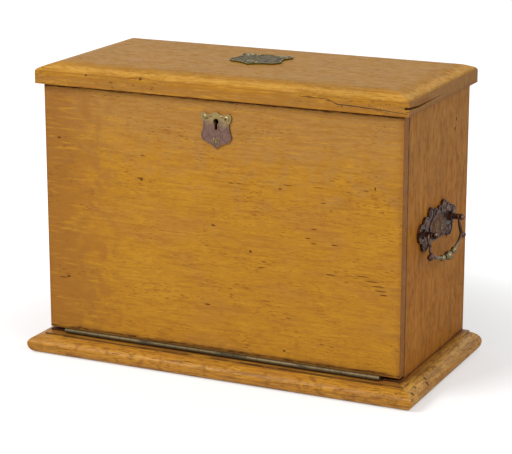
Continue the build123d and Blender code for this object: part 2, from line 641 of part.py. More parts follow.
def handle_posts():
    """Two posts with ball ends; their shanks run through the side panel to a nut."""
    posts = []
    face = HALF_W + PLATE_T
    for y in handle_post_places():
        pivot = HALF_W + PIVOT_OUT
        post = rod((INNER_HALF + GAP, y, HANDLE_Z), (face, y, HANDLE_Z), SHANK_R)
        post += rod((face, y, HANDLE_Z), (face + POST_BASE_T, y, HANDLE_Z), POST_BASE_R)
        post += rod((face, y, HANDLE_Z), (pivot + POST_R, y, HANDLE_Z), POST_R)
        post += rod((pivot, y, HANDLE_Z), (pivot + FINIAL_OUT, y, HANDLE_Z), FINIAL_R * 0.6)
        post += Pos(pivot + FINIAL_OUT, y, HANDLE_Z) * Sphere(FINIAL_R)
        post -= rod((pivot, y - 2 * POST_R, HANDLE_Z), (pivot, y + 2 * POST_R, HANDLE_Z), BAIL_R + FIT)
        posts.append(post)
    return Compound(posts)


def handle_nuts():
    """Square nuts sunk in the inner face of the side panel."""
    nuts = []
    sink = INNER_HALF + NUT_SINK
    half = NUT_W / 2
    for y in handle_post_places():
        nut = block((sink - NUT_T, sink), (y - half, y + half), (HANDLE_Z - half, HANDLE_Z + half))
        nuts.append(nut - rod((INNER_HALF, y, HANDLE_Z), (HALF_W, y, HANDLE_Z), SHANK_R + FIT))
    return Compound(nuts)


def handle_bail():
    """The right-hand bail: a bent bar with outer knobs, beads and collars, hung a little outwards."""
    x, top = HALF_W + PIVOT_OUT, HANDLE_Z
    arm, neck, hip = (1.18, 0), (1.11, 0.33), (1.13, 0.62)
    shares = [arm, neck, hip, (0.87, 0.8), (BEAD_Y / PIVOT_HALF, 0.955)]
    half = [(PIVOT_HALF - BAIL_TIP, 0)] + [(out * PIVOT_HALF, down * BAIL_DROP) for out, down in shares]
    points = [(x, HANDLE_Y - y, top - drop) for y, drop in half]
    points += [(x, HANDLE_Y, top - BAIL_DROP)]
    points += [(x, HANDLE_Y + y, top - drop) for y, drop in reversed(half)]
    bends = [BAIL_DROP * share for share in (0.086, 0.18, 0.079, 0.288, 0.504)]
    path = FilletPolyline(*points, radius=bends + [BAIL_DROP * 1.44] + bends[::-1])
    bail = sweep(Plane(origin=path @ 0, z_dir=path % 0) * Circle(BAIL_R), path=path)
    bail += Pos(x, HANDLE_Y, top - BAIL_DROP) * Sphere(BIG_BEAD_R)
    bead_drop, collar_drop = half[-1][1], (half[-1][1] + BAIL_DROP) / 2
    for side in (-1, 1):
        bail += Pos(x, HANDLE_Y + side * BEAD_Y, top - bead_drop) * Sphere(BEAD_R)
        low = (x, HANDLE_Y + side * (COLLAR_Y - COLLAR_L / 2), top - collar_drop - 0.1)
        high = (x, HANDLE_Y + side * (COLLAR_Y + COLLAR_L / 2), top - collar_drop + 0.1)
        bail += rod(low, high, COLLAR_R)
        knob_y = HANDLE_Y + side * (hip[0] * PIVOT_HALF + KNOB_R)
        bail += Pos(x, knob_y, top - hip[1] * BAIL_DROP - KNOB_R * 0.6) * Sphere(KNOB_R)
    return bail.rotate(Axis((x, HANDLE_Y, top), (0, 1, 0)), -BAIL_HANG)


def handles():
    right = {"plate": handle_plate(), "posts": handle_posts(), "nuts": handle_nuts(), "bail": handle_bail()}
    parts = {}
    for name, shape in right.items():
        parts[f"handle_{name}_right"] = shape
        parts[f"handle_{name}_left"] = mirror(shape, about=Plane.YZ)
    return parts


def letter_rack():
    """Stepped dividers housed in two sloping ends, standing on the floor against the back."""
    front, rear = RACK_FRONT, RACK_REAR
    pocket = (RACK_D - RACK_POCKETS * DIVIDER_T) / RACK_POCKETS
    outer = INNER_HALF - GAP
    inner = outer - RACK_END_T
    slope = [(rear, FLOOR_Z + RACK_BACK_H), (front, FLOOR_Z + RACK_FRONT_H)]
    end = extrude_along_x(polygon((front, FLOOR_Z), (rear, FLOOR_Z), *slope), inner, outer)
    rise = (RACK_BACK_H - RACK_FRONT_H) / RACK_D
    parts = {}
    for index in range(RACK_POCKETS):
        low = front + index * (pocket + DIVIDER_T)
        top = FLOOR_Z + RACK_FRONT_H + rise * (low - front)
        reach = inner + DIVIDER_GROOVE
        divider = block((-reach, reach), (low, low + DIVIDER_T), (FLOOR_Z, top))
        dip_r = (DIP_W ** 2 / 4 + DIP_D ** 2) / (2 * DIP_D)
        dip_z = top + dip_r - DIP_D
        divider -= rod((0, low - 1, dip_z), (0, low + DIVIDER_T + 1, dip_z), dip_r)
        groove = (low - SLIDE_IN, low + DIVIDER_T + SLIDE_IN)
        end -= block((inner - 1, reach + SLIDE_IN), groove, (FLOOR_Z, top))
        parts[f"rack_divider_{index}" if index else "rack_front"] = divider
    parts["rack_end_right"] = end
    parts["rack_end_left"] = mirror(end, about=Plane.YZ)
    return parts


def ink_tray():
    """A block with a square well for each bottle and a round-bottomed pen groove."""
    y, top = TRAY_Y, FLOOR_Z + TRAY_H
    reach = INNER_HALF - GAP
    tray = block((-reach, reach), (y - TRAY_D / 2, y + TRAY_D / 2), (FLOOR_Z, top))
    well = BOTTLE_W / 2 + GAP
    for x in (-BOTTLE_X, BOTTLE_X):
        tray -= block((x - well, x + well), (y - well, y + well), (top - BOTTLE_SINK, top + 1))
    groove_z = top - PEN_DEEP + PEN_R
    return tray - rod((-PEN_L / 2, y, groove_z), (PEN_L / 2, y, groove_z), PEN_R)


def ink_set(x):
    """One glass bottle with its brass collar, hinged cap and cap pin."""
    y, foot = TRAY_Y, FLOOR_Z + TRAY_H - BOTTLE_SINK
    shoulder = foot + BOTTLE_H
    rim = shoulder + NECK_H
    half = BOTTLE_W / 2
    glass = block((x - half, x + half), (y - half, y + half), (foot, shoulder))
    glass = fillet(glass.edges().filter_by(Axis.Z), BOTTLE_CORNER)
    glass = chamfer(glass.faces().sort_by(Axis.Z)[-1].edges(), BOTTLE_CORNER / 2)
    glass += rod((x, y, foot + 1), (x, y, rim), NECK_R)
    glass -= rod((x, y, foot + BOTTLE_WALL), (x, y, shoulder - BOTTLE_WALL), half - BOTTLE_WALL)
    glass -= rod((x, y, foot + BOTTLE_WALL), (x, y, rim + 1), NECK_BORE_R)
    collar_r = NECK_R + FIT + COLLAR_WALL
    hinge_y, hinge_z = y + CAP_HINGE_OUT, rim + GAP
    collar = rod((x, y, shoulder), (x, y, rim), collar_r)
    ear_low = CAP_KNUCKLE_L / 2 + GAP
    for side in (-1, 1):
        span = sorted((x + side * ear_low, x + side * (ear_low + CAP_EAR_L)))
        collar += rod((span[0], hinge_y, hinge_z), (span[1], hinge_y, hinge_z), CAP_KNUCKLE_R)
        arm_y = (y + NECK_R + COLLAR_WALL / 2, hinge_y)
        collar += block(span, arm_y, (rim - CAP_KNUCKLE_R, rim))
    collar -= rod((x, y, shoulder - 1), (x, y, rim + CAP_T), NECK_R + FIT)
    reach = ear_low + CAP_EAR_L
    ends = ((x - reach, hinge_y, hinge_z), (x + reach, hinge_y, hinge_z))
    collar -= rod((ends[0][0] - 1, *ends[0][1:]), (ends[1][0] + 1, *ends[1][1:]), CAP_PIN_R + FIT)
    cap_low = rim + GAP
    crown = (0, CAP_T + DOME_H)
    dome = TangentArc(crown, (collar_r, CAP_T), tangent=(1, 0))
    section = make_face([dome, Polyline((collar_r, CAP_T), (collar_r, 0), (0, 0), crown)])
    cap = Pos(x, y, cap_low) * revolve(Plane.XZ * section, Axis.Z)
    knuckle = CAP_KNUCKLE_L / 2
    cap += rod((x - knuckle, hinge_y, hinge_z), (x + knuckle, hinge_y, hinge_z), CAP_KNUCKLE_R)
    cap += block((x - knuckle, x + knuckle), (y + NECK_R, hinge_y), (cap_low, hinge_z + CAP_KNUCKLE_R))
    cap += Pos(x, y - collar_r, cap_low + CAP_T / 2) * Sphere(CAP_T / 2)
    cap -= rod((x - half, hinge_y, hinge_z), (x + half, hinge_y, hinge_z), CAP_PIN_R + FIT)
    pin = rod(*ends, CAP_PIN_R)
    return {"ink_bottle": glass, "ink_collar": collar, "ink_cap": cap, "ink_cap_pin": pin}


def build():
    nodes, plinth_holes = plinth_parts()
    nodes.update(case_boards())
    nodes["case_bottom"] = cut_all(nodes["case_bottom"], plinth_holes)
    nodes.update(fall_hinge())
    nodes.update(lid_hinges())
    nodes["fall_board"] = fall_board()
    nodes["writing_leather"] = writing_leather()
    nodes.update(lock_parts())
    nodes["lock_link_plate"] = link_plate()
    nodes["link_plate_screws"] = Compound([screw(*at) for at in link_screw_places()])
    nodes["lid_board"] = lid_board()
    nodes["escutcheon"] = escutcheon()
    nodes["escutcheon_pins"] = Compound([tack(*at) for at in escutcheon_tack_places()])
    nodes["lid_plaque"] = lid_plaque()
    nodes["plaque_pins"] = Compound([tack(*at) for at in plaque_tack_places()])
    nodes.update(handles())
    nodes.update(letter_rack())
    nodes["ink_tray"] = ink_tray()
    for side, x in (("left", -BOTTLE_X), ("right", BOTTLE_X)):
        for name, shape in ink_set(x).items():
            nodes[f"{name}_{side}"] = shape
    return nodes


os.makedirs("parts", exist_ok=True)
for node, shape in build().items():
    export_step(shape, f"parts/{node}.step")
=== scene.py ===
"""Looks of an upright wooden writing box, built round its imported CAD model.

Lengths are in metres in the model's own frame: +X to the right of the front, +Y to the back, +Z up.
Sizes given in millimetres have names that end in _mm.
"""

import logging
import math
from dataclasses import dataclass
from enum import Enum
from typing import Any

import bmesh
import bpy
from mathutils import Matrix, Vector


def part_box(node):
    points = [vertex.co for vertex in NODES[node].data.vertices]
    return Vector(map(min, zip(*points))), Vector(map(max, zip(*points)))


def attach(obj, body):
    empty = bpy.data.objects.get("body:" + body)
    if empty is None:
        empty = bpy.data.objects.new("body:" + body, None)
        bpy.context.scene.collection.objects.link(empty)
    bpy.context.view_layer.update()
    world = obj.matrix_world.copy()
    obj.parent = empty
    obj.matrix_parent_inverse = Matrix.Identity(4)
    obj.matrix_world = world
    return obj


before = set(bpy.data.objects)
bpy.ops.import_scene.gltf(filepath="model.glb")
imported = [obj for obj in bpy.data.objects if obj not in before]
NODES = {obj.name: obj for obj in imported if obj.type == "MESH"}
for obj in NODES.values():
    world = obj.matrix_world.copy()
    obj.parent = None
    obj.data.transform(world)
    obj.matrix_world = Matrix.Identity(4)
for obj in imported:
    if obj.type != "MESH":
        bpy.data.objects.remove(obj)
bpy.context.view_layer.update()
SCENE = bpy.context.scene
MM = 0.001
LOG = logging.getLogger("writing_box")
Colour = tuple[float, float, float, float]
Inputs = dict[str | int, Any]
Triple = tuple[float, float, float]
Row = tuple[float, float, float, float]
Mesh = bmesh.types.BMesh
Material = bpy.types.Material
Socket = bpy.types.NodeSocket

WHITE = (1.0, 1.0, 1.0, 1.0)
# Sockets of the Mix node when it mixes colours
MIX_BY, MIX_A, MIX_B, MIXED = 0, 6, 7, 2
# A mark fades from its core to its edge, in shares of its reach
MARK_CORE, MARK_EDGE = 0.6, 1.25
# Vertices of a shape nearer than this are one
WELD = 0.002 * MM
# A scroll starts this share of its radius from its eye
SCROLL_EYE = 0.12
STEPS_PER_TURN = 26
# Edges that turn by more than this stay sharp
SHARP_ANGLE = math.radians(35)
# Where a shield's bosses sit, in shares: of its half width off its middle line, of its length from its top
BIG_BOSS_AT = (0.69, 0.155)
SMALL_BOSS_AT = (0.36, 0.12)


def linear(hex_colour: str) -> Colour:
    """Turns an sRGB colour such as #b6812d into the linear RGBA numbers that a shader takes."""
    channels = [int(hex_colour[at:at + 2], 16) / 255 for at in (1, 3, 5)]
    turned = [c / 12.92 if c <= 0.04045 else ((c + 0.055) / 1.055) ** 2.4 for c in channels]
    return (*turned, 1.0)


def add_node(tree: bpy.types.NodeTree, kind: str, inputs: Inputs | None = None,
             **settings: Any) -> bpy.types.Node:
    """Adds a node with its settings, values and links.

    Args:
        tree: The node tree that gets the node.
        kind: The node's type name, without ShaderNode before it.
        inputs: A value, or the output that feeds it, for each input by name or number.
        settings: The node's own properties.

    Returns:
        The new node.
    """
    node = tree.nodes.new(f"ShaderNode{kind}")
    for key, value in settings.items():
        setattr(node, key, value)
    for key, value in (inputs or {}).items():
        if isinstance(value, Socket):
            tree.links.new(value, node.inputs[key])
        else:
            node.inputs[key].default_value = value
    return node


class Grain(Enum):
    """The axis that a board's grain runs along, as the turn that brings it onto X."""

    ALONG_X = (0.0, 0.0, 0.0)
    ALONG_Y = (0.0, 0.0, -math.pi / 2)
    ALONG_Z = (0.0, math.pi / 2, 0.0)


@dataclass(frozen=True)
class Mark:
    """A dark fleck, plug, hole or shadow in a surface: where it is and how far it reaches each way."""

    at_mm: Triple
    reach_mm: Triple


class Surface:
    """A material's node tree while a finish builds it up, pattern by pattern."""

    def __init__(self, name: str) -> None:
        """Starts an empty tree that reads Object coordinates in millimetres."""
        self.material = bpy.data.materials.new(name)
        self.material.use_nodes = True
        self.tree = self.material.node_tree
        self.tree.nodes.clear()
        self.coords = self.add("TexCoord")
        scale = {"Vector": self.coords.outputs["Object"], "Scale": (1 / MM,) * 3}
        self.place = self.add("Mapping", scale).outputs[0]

    def add(self, kind: str, inputs: Inputs | None = None, **settings: Any) -> bpy.types.Node:
        """Adds a node to this surface's tree."""
        return add_node(self.tree, kind, inputs, **settings)

    def patches(self, size_mm: Triple, detail: float = 2.0, twist: float = 0.0,
                of: Socket | None = None) -> Socket:
        """Makes a cloudy pattern whose patches have a real size.

        Args:
            size_mm: How long a patch is along each axis.
            detail: How many finer octaves it has.
            twist: How much the pattern is distorted.
            of: The coordinates in millimetres, if not the surface's own.

        Returns:
            A value near 0.5 that wanders between about 0.25 and 0.75.
        """
        per_mm = tuple(1 / size for size in size_mm)
        scaled = self.add("VectorMath", {0: of or self.place, 1: per_mm}, operation="MULTIPLY")
        settings = {"Vector": scaled.outputs[0], "Scale": 1.0, "Detail": detail, "Distortion": twist}
        return self.add("TexNoise", settings).outputs["Fac"]

    def between(self, pattern: Socket, low: float, high: float, least: float = 0.0,
                most: float = 1.0) -> Socket:
        """Turns a pattern into a soft-edged mask.

        Args:
            pattern: The value to read.
            low: The value at which the mask starts.
            high: The value at which it is full.
            least: The mask below low.
            most: The mask above high.

        Returns:
            The mask.
        """
        values = {"Value": pattern, "From Min": low, "From Max": high, "To Min": least, "To Max": most}
        return self.add("MapRange", values, interpolation_type="SMOOTHSTEP").outputs[0]

    def join(self, first: Socket, second: Socket | float, how: str = "MULTIPLY") -> Socket:
        """Joins two values. Multiplied, two masks leave what they share; MAXIMUM leaves either."""
        return self.add("Math", {0: first, 1: second}, operation=how).outputs[0]

    def unsigned(self, value: Socket) -> Socket:
        """Drops a value's sign."""
        return self.add("Math", {0: value}, operation="ABSOLUTE").outputs[0]

    def away(self, axis: int, level_mm: float) -> Socket:
        """Measures, in millimetres, how far a point lies from one level of an axis, on either side."""
        along = self.add("SeparateXYZ", {0: self.place}).outputs[axis]
        return self.unsigned(self.join(along, level_mm, "SUBTRACT"))

    def lay(self, base: Colour | Socket, colour: str | Socket, mask: Socket) -> Socket:
        """Lays a hex colour, or a colour output, over a base colour as far as a mask says."""
        top = linear(colour) if isinstance(colour, str) else colour
        inputs = {MIX_BY: mask, MIX_A: base, MIX_B: top}
        return self.add("Mix", inputs, data_type="RGBA").outputs[MIXED]

    def marks(self, marks: tuple[Mark, ...]) -> Socket:
        """Makes a mask that is 1 inside a mark and 0 outside all of them. It needs at least one."""
        found = None
        for mark in marks:
            offset = self.add("VectorMath", {0: self.place, 1: mark.at_mm}, operation="SUBTRACT")
            inputs = {0: offset.outputs[0], 1: mark.reach_mm}
            share = self.add("VectorMath", inputs, operation="DIVIDE").outputs[0]
            length = self.add("VectorMath", {0: share}, operation="LENGTH").outputs["Value"]
            spot = self.between(length, MARK_EDGE, MARK_CORE)
            found = spot if found is None else self.join(found, spot, "MAXIMUM")
        return found

    def bump(self, height: Socket, depth_mm: float) -> Socket:
        """Turns a height pattern from 0 to 1 into a normal, depth_mm deep."""
        inputs = {"Height": height, "Strength": 1.0, "Distance": depth_mm * MM}
        return self.add("Bump", inputs).outputs[0]

    def shade(self, inputs: Inputs) -> Material:
        """Ends the tree in a Principled shader with these inputs, and returns the material."""
        shader = self.add("BsdfPrincipled", inputs)
        self.add("OutputMaterial", {"Surface": shader.outputs[0]})
        return self.material


@dataclass(frozen=True)
class Band:
    """A colour that grows toward one level of a board: a dark line when narrow, a zone of other tone when
    wide. Some bands are painted shade, sheen or highlight.
    """

    axis: int
    at_mm: float
    reach_mm: float
    colour: str
    most: float = 0.9


@dataclass(frozen=True)
class WaxedWood:
    """Stained hardwood with an old wax polish: golden, with short dark pores and a soft sheen.

    Real pores are about 0.1 mm wide. They are drawn coarser here, so that they show.
    """

    name: str
    grain: Grain = Grain.ALONG_X
    light: str = "#c18b33"
    middle: str = "#b57e2b"
    dark: str = "#a06a24"
    pore: str = "#6e3f18"
    stain: str = "#a4713a"
    end: str = "#693a1b"
    # Colour of the marks: dirt, flecks and holes, and painted shade inside the lid's open shake.
    grime_and_shade: str = "#4b2812"
    start_mm: Triple = (0.0, 0.0, 0.0)
    figure_mm: tuple[float, float] = (26.0, 2.4)
    pore_mm: tuple[float, float] = (5.5, 0.8)
    cloud_mm: Triple = (70.0, 34.0, 34.0)
    pore_patch_mm: Triple = (42.0, 20.0, 20.0)
    mottle_mm: Triple = (10.0, 6.0, 6.0)
    ring_mm: Triple = (9.0, 2.2, 9.0)
    ragged_mm: Triple = (14.0, 14.0, 14.0)
    pore_depth_mm: float = 0.1
    pores: float = 0.7
    stained: float = 0.35
    mottled: float = 0.4
    roughness: float = 0.42
    gloss: float = 0.1
    marks: tuple[Mark, ...] = ()
    bands: tuple[Band, ...] = ()
    end_bands: tuple[Band, ...] = ()

    def lay_bands(self, surface: Surface, colour: Colour | Socket,
                  bands: tuple[Band, ...]) -> Colour | Socket:
        """Lays each band over a colour, with a slightly ragged edge.

        Args:
            surface: The surface that is built.
            colour: The colour underneath.
            bands: The bands, in order.

        Returns:
            The colour with the bands on it.
        """
        if not bands:
            return colour
        ragged = surface.patches(self.ragged_mm, 4.0, 0.5)
        for band in bands:
            swing = surface.between(ragged, 0.3, 0.7, 1.35, 0.65)
            away = surface.join(surface.away(band.axis, band.at_mm), swing)
            mask = surface.between(away, band.reach_mm, band.reach_mm * 0.15, 0.0, band.most)
            colour = surface.lay(colour, band.colour, mask)
        return colour

    def lay_end_grain(self, surface: Surface, colour: Socket, along: Socket) -> Socket:
        """Lays the darker end grain over the faces that cut across the fibres.

        Args:
            surface: The surface that is built.
            colour: The colour of the other faces.
            along: The coordinates turned to the grain.

        Returns:
            The colour of all faces.
        """
        turned = surface.add("Mapping", {
            "Vector": surface.coords.outputs["Normal"], "Rotation": self.grain.value}).outputs[0]
        facing = surface.unsigned(surface.add("SeparateXYZ", {0: turned}).outputs[0])
        cut_end = surface.between(facing, 0.75, 0.95, 0.0, 0.9)
        rings = surface.patches(self.ring_mm, 2.0, 0.8, along)
        end_colour = surface.lay(linear(self.end), self.stain, surface.between(rings, 0.44, 0.7, 0.0, 0.5))
        end_colour = self.lay_bands(surface, end_colour, self.end_bands)
        return surface.lay(colour, end_colour, cut_end)

    def build(self) -> Material:
        """Builds the material: fine figure, mottle, pores in patches, bands (some of them painted light or
        shade), marks and end grain.
        """
        surface = Surface(self.name)
        along = surface.add("Mapping", {
            "Vector": surface.place, "Location": self.start_mm, "Rotation": self.grain.value}).outputs[0]
        long, wide = self.figure_mm
        figure = surface.patches((long, wide, wide), 3.0, 0.4, along)
        streaks = surface.patches((long * 0.3, wide * 0.42, wide * 0.42), 2.0, 0.2, along)
        cloud = surface.patches(self.cloud_mm, 3.0, 0.8, along)
        pore_long, pore_wide = self.pore_mm
        pores = surface.patches((pore_long, pore_wide, pore_wide), 1.0, 0.0, along)
        pore_patch = surface.patches(self.pore_patch_mm, 2.0, 0.3, along)
        flecks = surface.patches((pore_long * 1.5, pore_wide * 1.7, pore_wide * 1.7), 0.5, 0.0, along)
        mottle = surface.patches(self.mottle_mm, 4.0, 0.6, along)

        stained = surface.between(cloud, 0.47, 0.68, 0.0, self.stained)
        colour = surface.lay(linear(self.middle), self.stain, stained)
        colour = surface.lay(colour, self.light, surface.between(cloud, 0.46, 0.3, 0.0, self.mottled))
        # Bands: zones of other tone and dark lines, some of them painted sheen, highlight or shade.
        colour = self.lay_bands(surface, colour, self.bands)
        colour = surface.lay(colour, self.light, surface.between(figure, 0.52, 0.72, 0.0, 0.6))
        colour = surface.lay(colour, self.dark, surface.between(figure, 0.5, 0.32, 0.0, 0.6))
        colour = surface.lay(colour, self.dark, surface.between(streaks, 0.5, 0.34, 0.0, 0.55))
        colour = surface.lay(colour, self.dark, surface.between(mottle, 0.5, 0.7, 0.0, self.mottled))
        fine = surface.between(pores, 0.6, 0.74, 0.0, self.pores)
        patchy = surface.join(fine, surface.between(pore_patch, 0.4, 0.62, 0.15, 1.0))
        clustered = surface.between(pore_patch, 0.5, 0.62, 0.0, self.pores)
        hollow = surface.join(surface.between(flecks, 0.66, 0.74), clustered)
        hollow = surface.join(hollow, patchy, "MAXIMUM")
        colour = surface.lay(colour, self.pore, hollow)
        if self.marks:
            marks = surface.marks(self.marks)
            colour = surface.lay(colour, self.grime_and_shade, surface.join(marks, 0.85))
            hollow = surface.join(hollow, marks, "MAXIMUM")

        colour = self.lay_end_grain(surface, colour, along)
        height = surface.join(surface.join(streaks, 0.25), surface.join(hollow, -1.0), "ADD")
        rough = surface.between(mottle, 0.3, 0.7, self.roughness - 0.05, self.roughness + 0.1)
        rough = surface.join(surface.join(hollow, 0.25), rough, "ADD")
        return surface.shade({
            "Base Color": colour, "Roughness": rough, "Normal": surface.bump(height, self.pore_depth_mm),
            "IOR": 1.45, "Specular IOR Level": self.gloss})


@dataclass(frozen=True)
class AgedBrass:
    """Bare brass or bronze, handled for a century: bright where rubbed, brown and green in the hollows.

    Its colours go from the rubbed metal to the patina. Real pits are finer than the picture can show,
    so they are drawn coarser.
    """

    name: str
    bright: str = "#a58a4c"
    dull: str = "#6f5a35"
    patina: str = "#4a4a34"
    patch_mm: float = 5.0
    patina_from: float = 0.5
    roughness: float = 0.38
    pit_mm: float = 0.5
    pit_depth_mm: float = 0.05
    metal: float = 1.0
    gloss: float = 0.25
    rubbed: Band | None = None

    def build(self) -> Material:
        """Builds the material: two metal tones, patches of patina, fine pits and one rubbed zone."""
        surface = Surface(self.name)
        patch = self.patch_mm
        tone = surface.patches((patch,) * 3, 3.0, 0.4)
        crust = surface.patches((patch * 0.55, patch * 0.5, patch * 0.6), 4.0, 0.2)
        pits = surface.patches((self.pit_mm,) * 3, 2.0)
        colour = surface.lay(linear(self.dull), self.bright, surface.between(tone, 0.4, 0.62))
        grown = surface.between(crust, self.patina_from, self.patina_from + 0.16, 0.0, 0.85)
        colour = surface.lay(colour, self.patina, grown)
        if self.rubbed:
            wandering = surface.between(tone, 0.3, 0.7, 0.75, 1.25)
            away = surface.join(surface.away(self.rubbed.axis, self.rubbed.at_mm), wandering)
            reach = self.rubbed.reach_mm
            mask = surface.between(away, reach, reach * 0.5, 0.0, self.rubbed.most)
            colour = surface.lay(colour, self.rubbed.colour, mask)
            grown = surface.join(grown, surface.between(mask, 0.0, 1.0, 1.0, 0.2))
        rough = surface.join(surface.join(grown, 0.22), self.roughness, "ADD")
        metal = surface.between(grown, 0.0, 1.0, self.metal, self.metal * 0.55)
        return surface.shade({
            "Base Color": colour, "Metallic": metal, "Roughness": rough,
            "Normal": surface.bump(pits, self.pit_depth_mm), "Specular IOR Level": self.gloss})


@dataclass(frozen=True)
class BoxSteel:
    """Plain iron or steel of locks, nuts and screws: grey, dull and a little rusty."""

    name: str
    light: str = "#8d8a84"
    dark: str = "#4a4540"
    rust: str = "#5b3a22"
    patch_mm: float = 4.0
    speck_mm: float = 1.2
    pit_depth_mm: float = 0.04

    def build(self) -> Material:
        """Builds the material: a mottled grey metal with specks of rust."""
        surface = Surface(self.name)
        tone = surface.patches((self.patch_mm,) * 3, 4.0, 0.3)
        specks = surface.patches((self.speck_mm,) * 3, 3.0)
        rusty = surface.between(specks, 0.6, 0.7, 0.0, 0.8)
        colour = surface.lay(linear(self.light), self.dark, surface.between(tone, 0.4, 0.62))
        colour = surface.lay(colour, self.rust, rusty)
        return surface.shade({
            "Base Color": colour, "Metallic": surface.between(rusty, 0.0, 0.8, 1.0, 0.2),
            "Roughness": surface.between(tone, 0.3, 0.7, 0.36, 0.55),
            "Normal": surface.bump(specks, self.pit_depth_mm)})


@dataclass(frozen=True)
class TooledLeather:
    """Dyed skiver leather pasted in a recess, with a worn gilt line tooled round it.

    Its two corners are given in X and Z.
    """

    name: str
    low_mm: tuple[float, float]
    high_mm: tuple[float, float]
    dye: str = "#1f3b2a"
    worn: str = "#3c5240"
    gilt: str = "#b08a3e"
    inset_mm: float = 8.0
    line_mm: float = 0.9
    wear_mm: float = 9.0
    scuff_mm: Triple = (60.0, 30.0, 40.0)
    pebble_mm: float = 1.1
    pebble_depth_mm: float = 0.12

    def build(self) -> Material:
        """Builds the material: pebbled grain, scuffs and a gilt line in from the edges."""
        surface = Surface(self.name)
        nearest = None
        for axis, low, high in zip((0, 2), self.low_mm, self.high_mm):
            away = surface.away(axis, (low + high) / 2)
            inside = surface.join(surface.join(away, -1.0), (high - low) / 2, "ADD")
            nearest = inside if nearest is None else surface.join(nearest, inside, "MINIMUM")
        inputs = {0: nearest, 1: self.inset_mm, 2: self.line_mm}
        line = surface.add("Math", inputs, operation="COMPARE").outputs[0]
        wear = surface.between(surface.patches((self.wear_mm,) * 3, 4.0), 0.36, 0.56, 0.2, 1.0)
        gilded = surface.join(line, wear)
        scuffs = surface.between(surface.patches(self.scuff_mm, 4.0, 0.6), 0.48, 0.68, 0.0, 0.8)
        colour = surface.lay(linear(self.dye), self.worn, scuffs)
        colour = surface.lay(colour, self.gilt, gilded)
        cells = {"Vector": surface.place, "Scale": 1 / self.pebble_mm}
        pebble = surface.add("TexVoronoi", cells).outputs["Distance"]
        return surface.shade({
            "Base Color": colour, "Metallic": surface.join(gilded, 0.8), "IOR": 1.5,
            "Roughness": surface.between(scuffs, 0.0, 0.8, 0.5, 0.68),
            "Normal": surface.bump(pebble, self.pebble_depth_mm)})


@dataclass(frozen=True)
class PressedGlass:
    """Clear pressed glass with a faint green cast, as in old inkwells."""

    name: str
    tint: str = "#e8f2ec"
    wave_mm: float = 7.0
    wave_depth_mm: float = 0.15

    def build(self) -> Material:
        """Builds the material: clear glass with slightly wavy faces."""
        surface = Surface(self.name)
        waves = surface.patches((self.wave_mm,) * 3, 1.0)
        return surface.shade({
            "Base Color": linear(self.tint), "Roughness": 0.03, "IOR": 1.5, "Transmission Weight": 1.0,
            "Normal": surface.bump(waves, self.wave_depth_mm)})


@dataclass(frozen=True)
class OpenCrack:
    """Painted shade for an open shake: dark and matt, with a little colour variation."""

    name: str
    shadow: str = "#2c180b"
    dust: str = "#4a2d18"
    dust_mm: Triple = (6.0, 2.0, 2.0)

    def build(self) -> Material:
        """Builds the material: dark painted shade with paler dust."""
        surface = Surface(self.name)
        dusty = surface.between(surface.patches(self.dust_mm, 3.0), 0.45, 0.65)
        colour = surface.lay(linear(self.shadow), self.dust, dusty)
        return surface.shade({"Base Color": colour, "Roughness": 0.9})


def clad(node: str, material: Material) -> None:
    """Gives a CAD node its material, in place of the one it was packed with."""
    for slot in NODES[node].material_slots:
        slot.material = material
    LOG.info("%s: %s", node, material.name)


def make_piece(name: str, mesh: Mesh, material: Material, body: str) -> bpy.types.Object:
    """Turns a bmesh into an object of the part that rides on a body.

    Args:
        name: The piece's name.
        mesh: Its shape, in the model's frame. It is freed.
        material: Its material.
        body: The CAD body that carries it.

    Returns:
        The object.
    """
    bmesh.ops.remove_doubles(mesh, verts=mesh.verts, dist=WELD)
    bmesh.ops.recalc_face_normals(mesh, faces=mesh.faces)
    data = bpy.data.meshes.new(name)
    mesh.to_mesh(data)
    mesh.free()
    data.shade_smooth()
    data.set_sharp_from_angle(angle=SHARP_ANGLE)
    data.materials.append(material)
    piece = bpy.data.objects.new(name, data)
    SCENE.collection.objects.link(piece)
    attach(piece, body)
    LOG.info("%s: %d faces on %s", name, len(data.polygons), body)
    return piece


def raised_rim(node: str, out: Vector, level: float, width_mm: float, height_mm: float) -> Mesh:
    """Makes a raised border that follows the outline of one face of a CAD plate.

    Args:
        node: The plate's node.
        out: The way that the face looks.
        level: How far along that way the face lies.
        width_mm: The border's width.
        height_mm: How far it stands up.

    Returns:
        The border's mesh.
    """
    mesh = bmesh.new()
    mesh.from_mesh(NODES[node].data)
    bmesh.ops.remove_doubles(mesh, verts=mesh.verts, dist=WELD)
    off = {vert for vert in mesh.verts if abs(vert.co.dot(out) - level) > 10 * WELD}
    others = [face for face in mesh.faces if not off.isdisjoint(face.verts)]
    bmesh.ops.delete(mesh, geom=others, context="FACES")
    flat = list(mesh.faces)
    bmesh.ops.inset_region(
        mesh, faces=flat, use_boundary=True, use_even_offset=True, thickness=width_mm * MM)
    bmesh.ops.delete(mesh, geom=flat, context="FACES")
    raised = bmesh.ops.extrude_face_region(mesh, geom=list(mesh.faces))
    moved = [item for item in raised["geom"] if isinstance(item, bmesh.types.BMVert)]
    bmesh.ops.translate(mesh, verts=moved, vec=out * height_mm * MM)
    return mesh


def add_boss(mesh: Mesh, at: Vector, reach_mm: Triple) -> None:
    """Adds a rounded boss to a mesh: its middle, and its half size along X, Y and Z."""
    place = Matrix.Translation(at) @ Matrix.Diagonal(Vector((*[reach * MM for reach in reach_mm], 1.0)))
    bmesh.ops.create_uvsphere(mesh, u_segments=28, v_segments=16, radius=1.0, matrix=place)


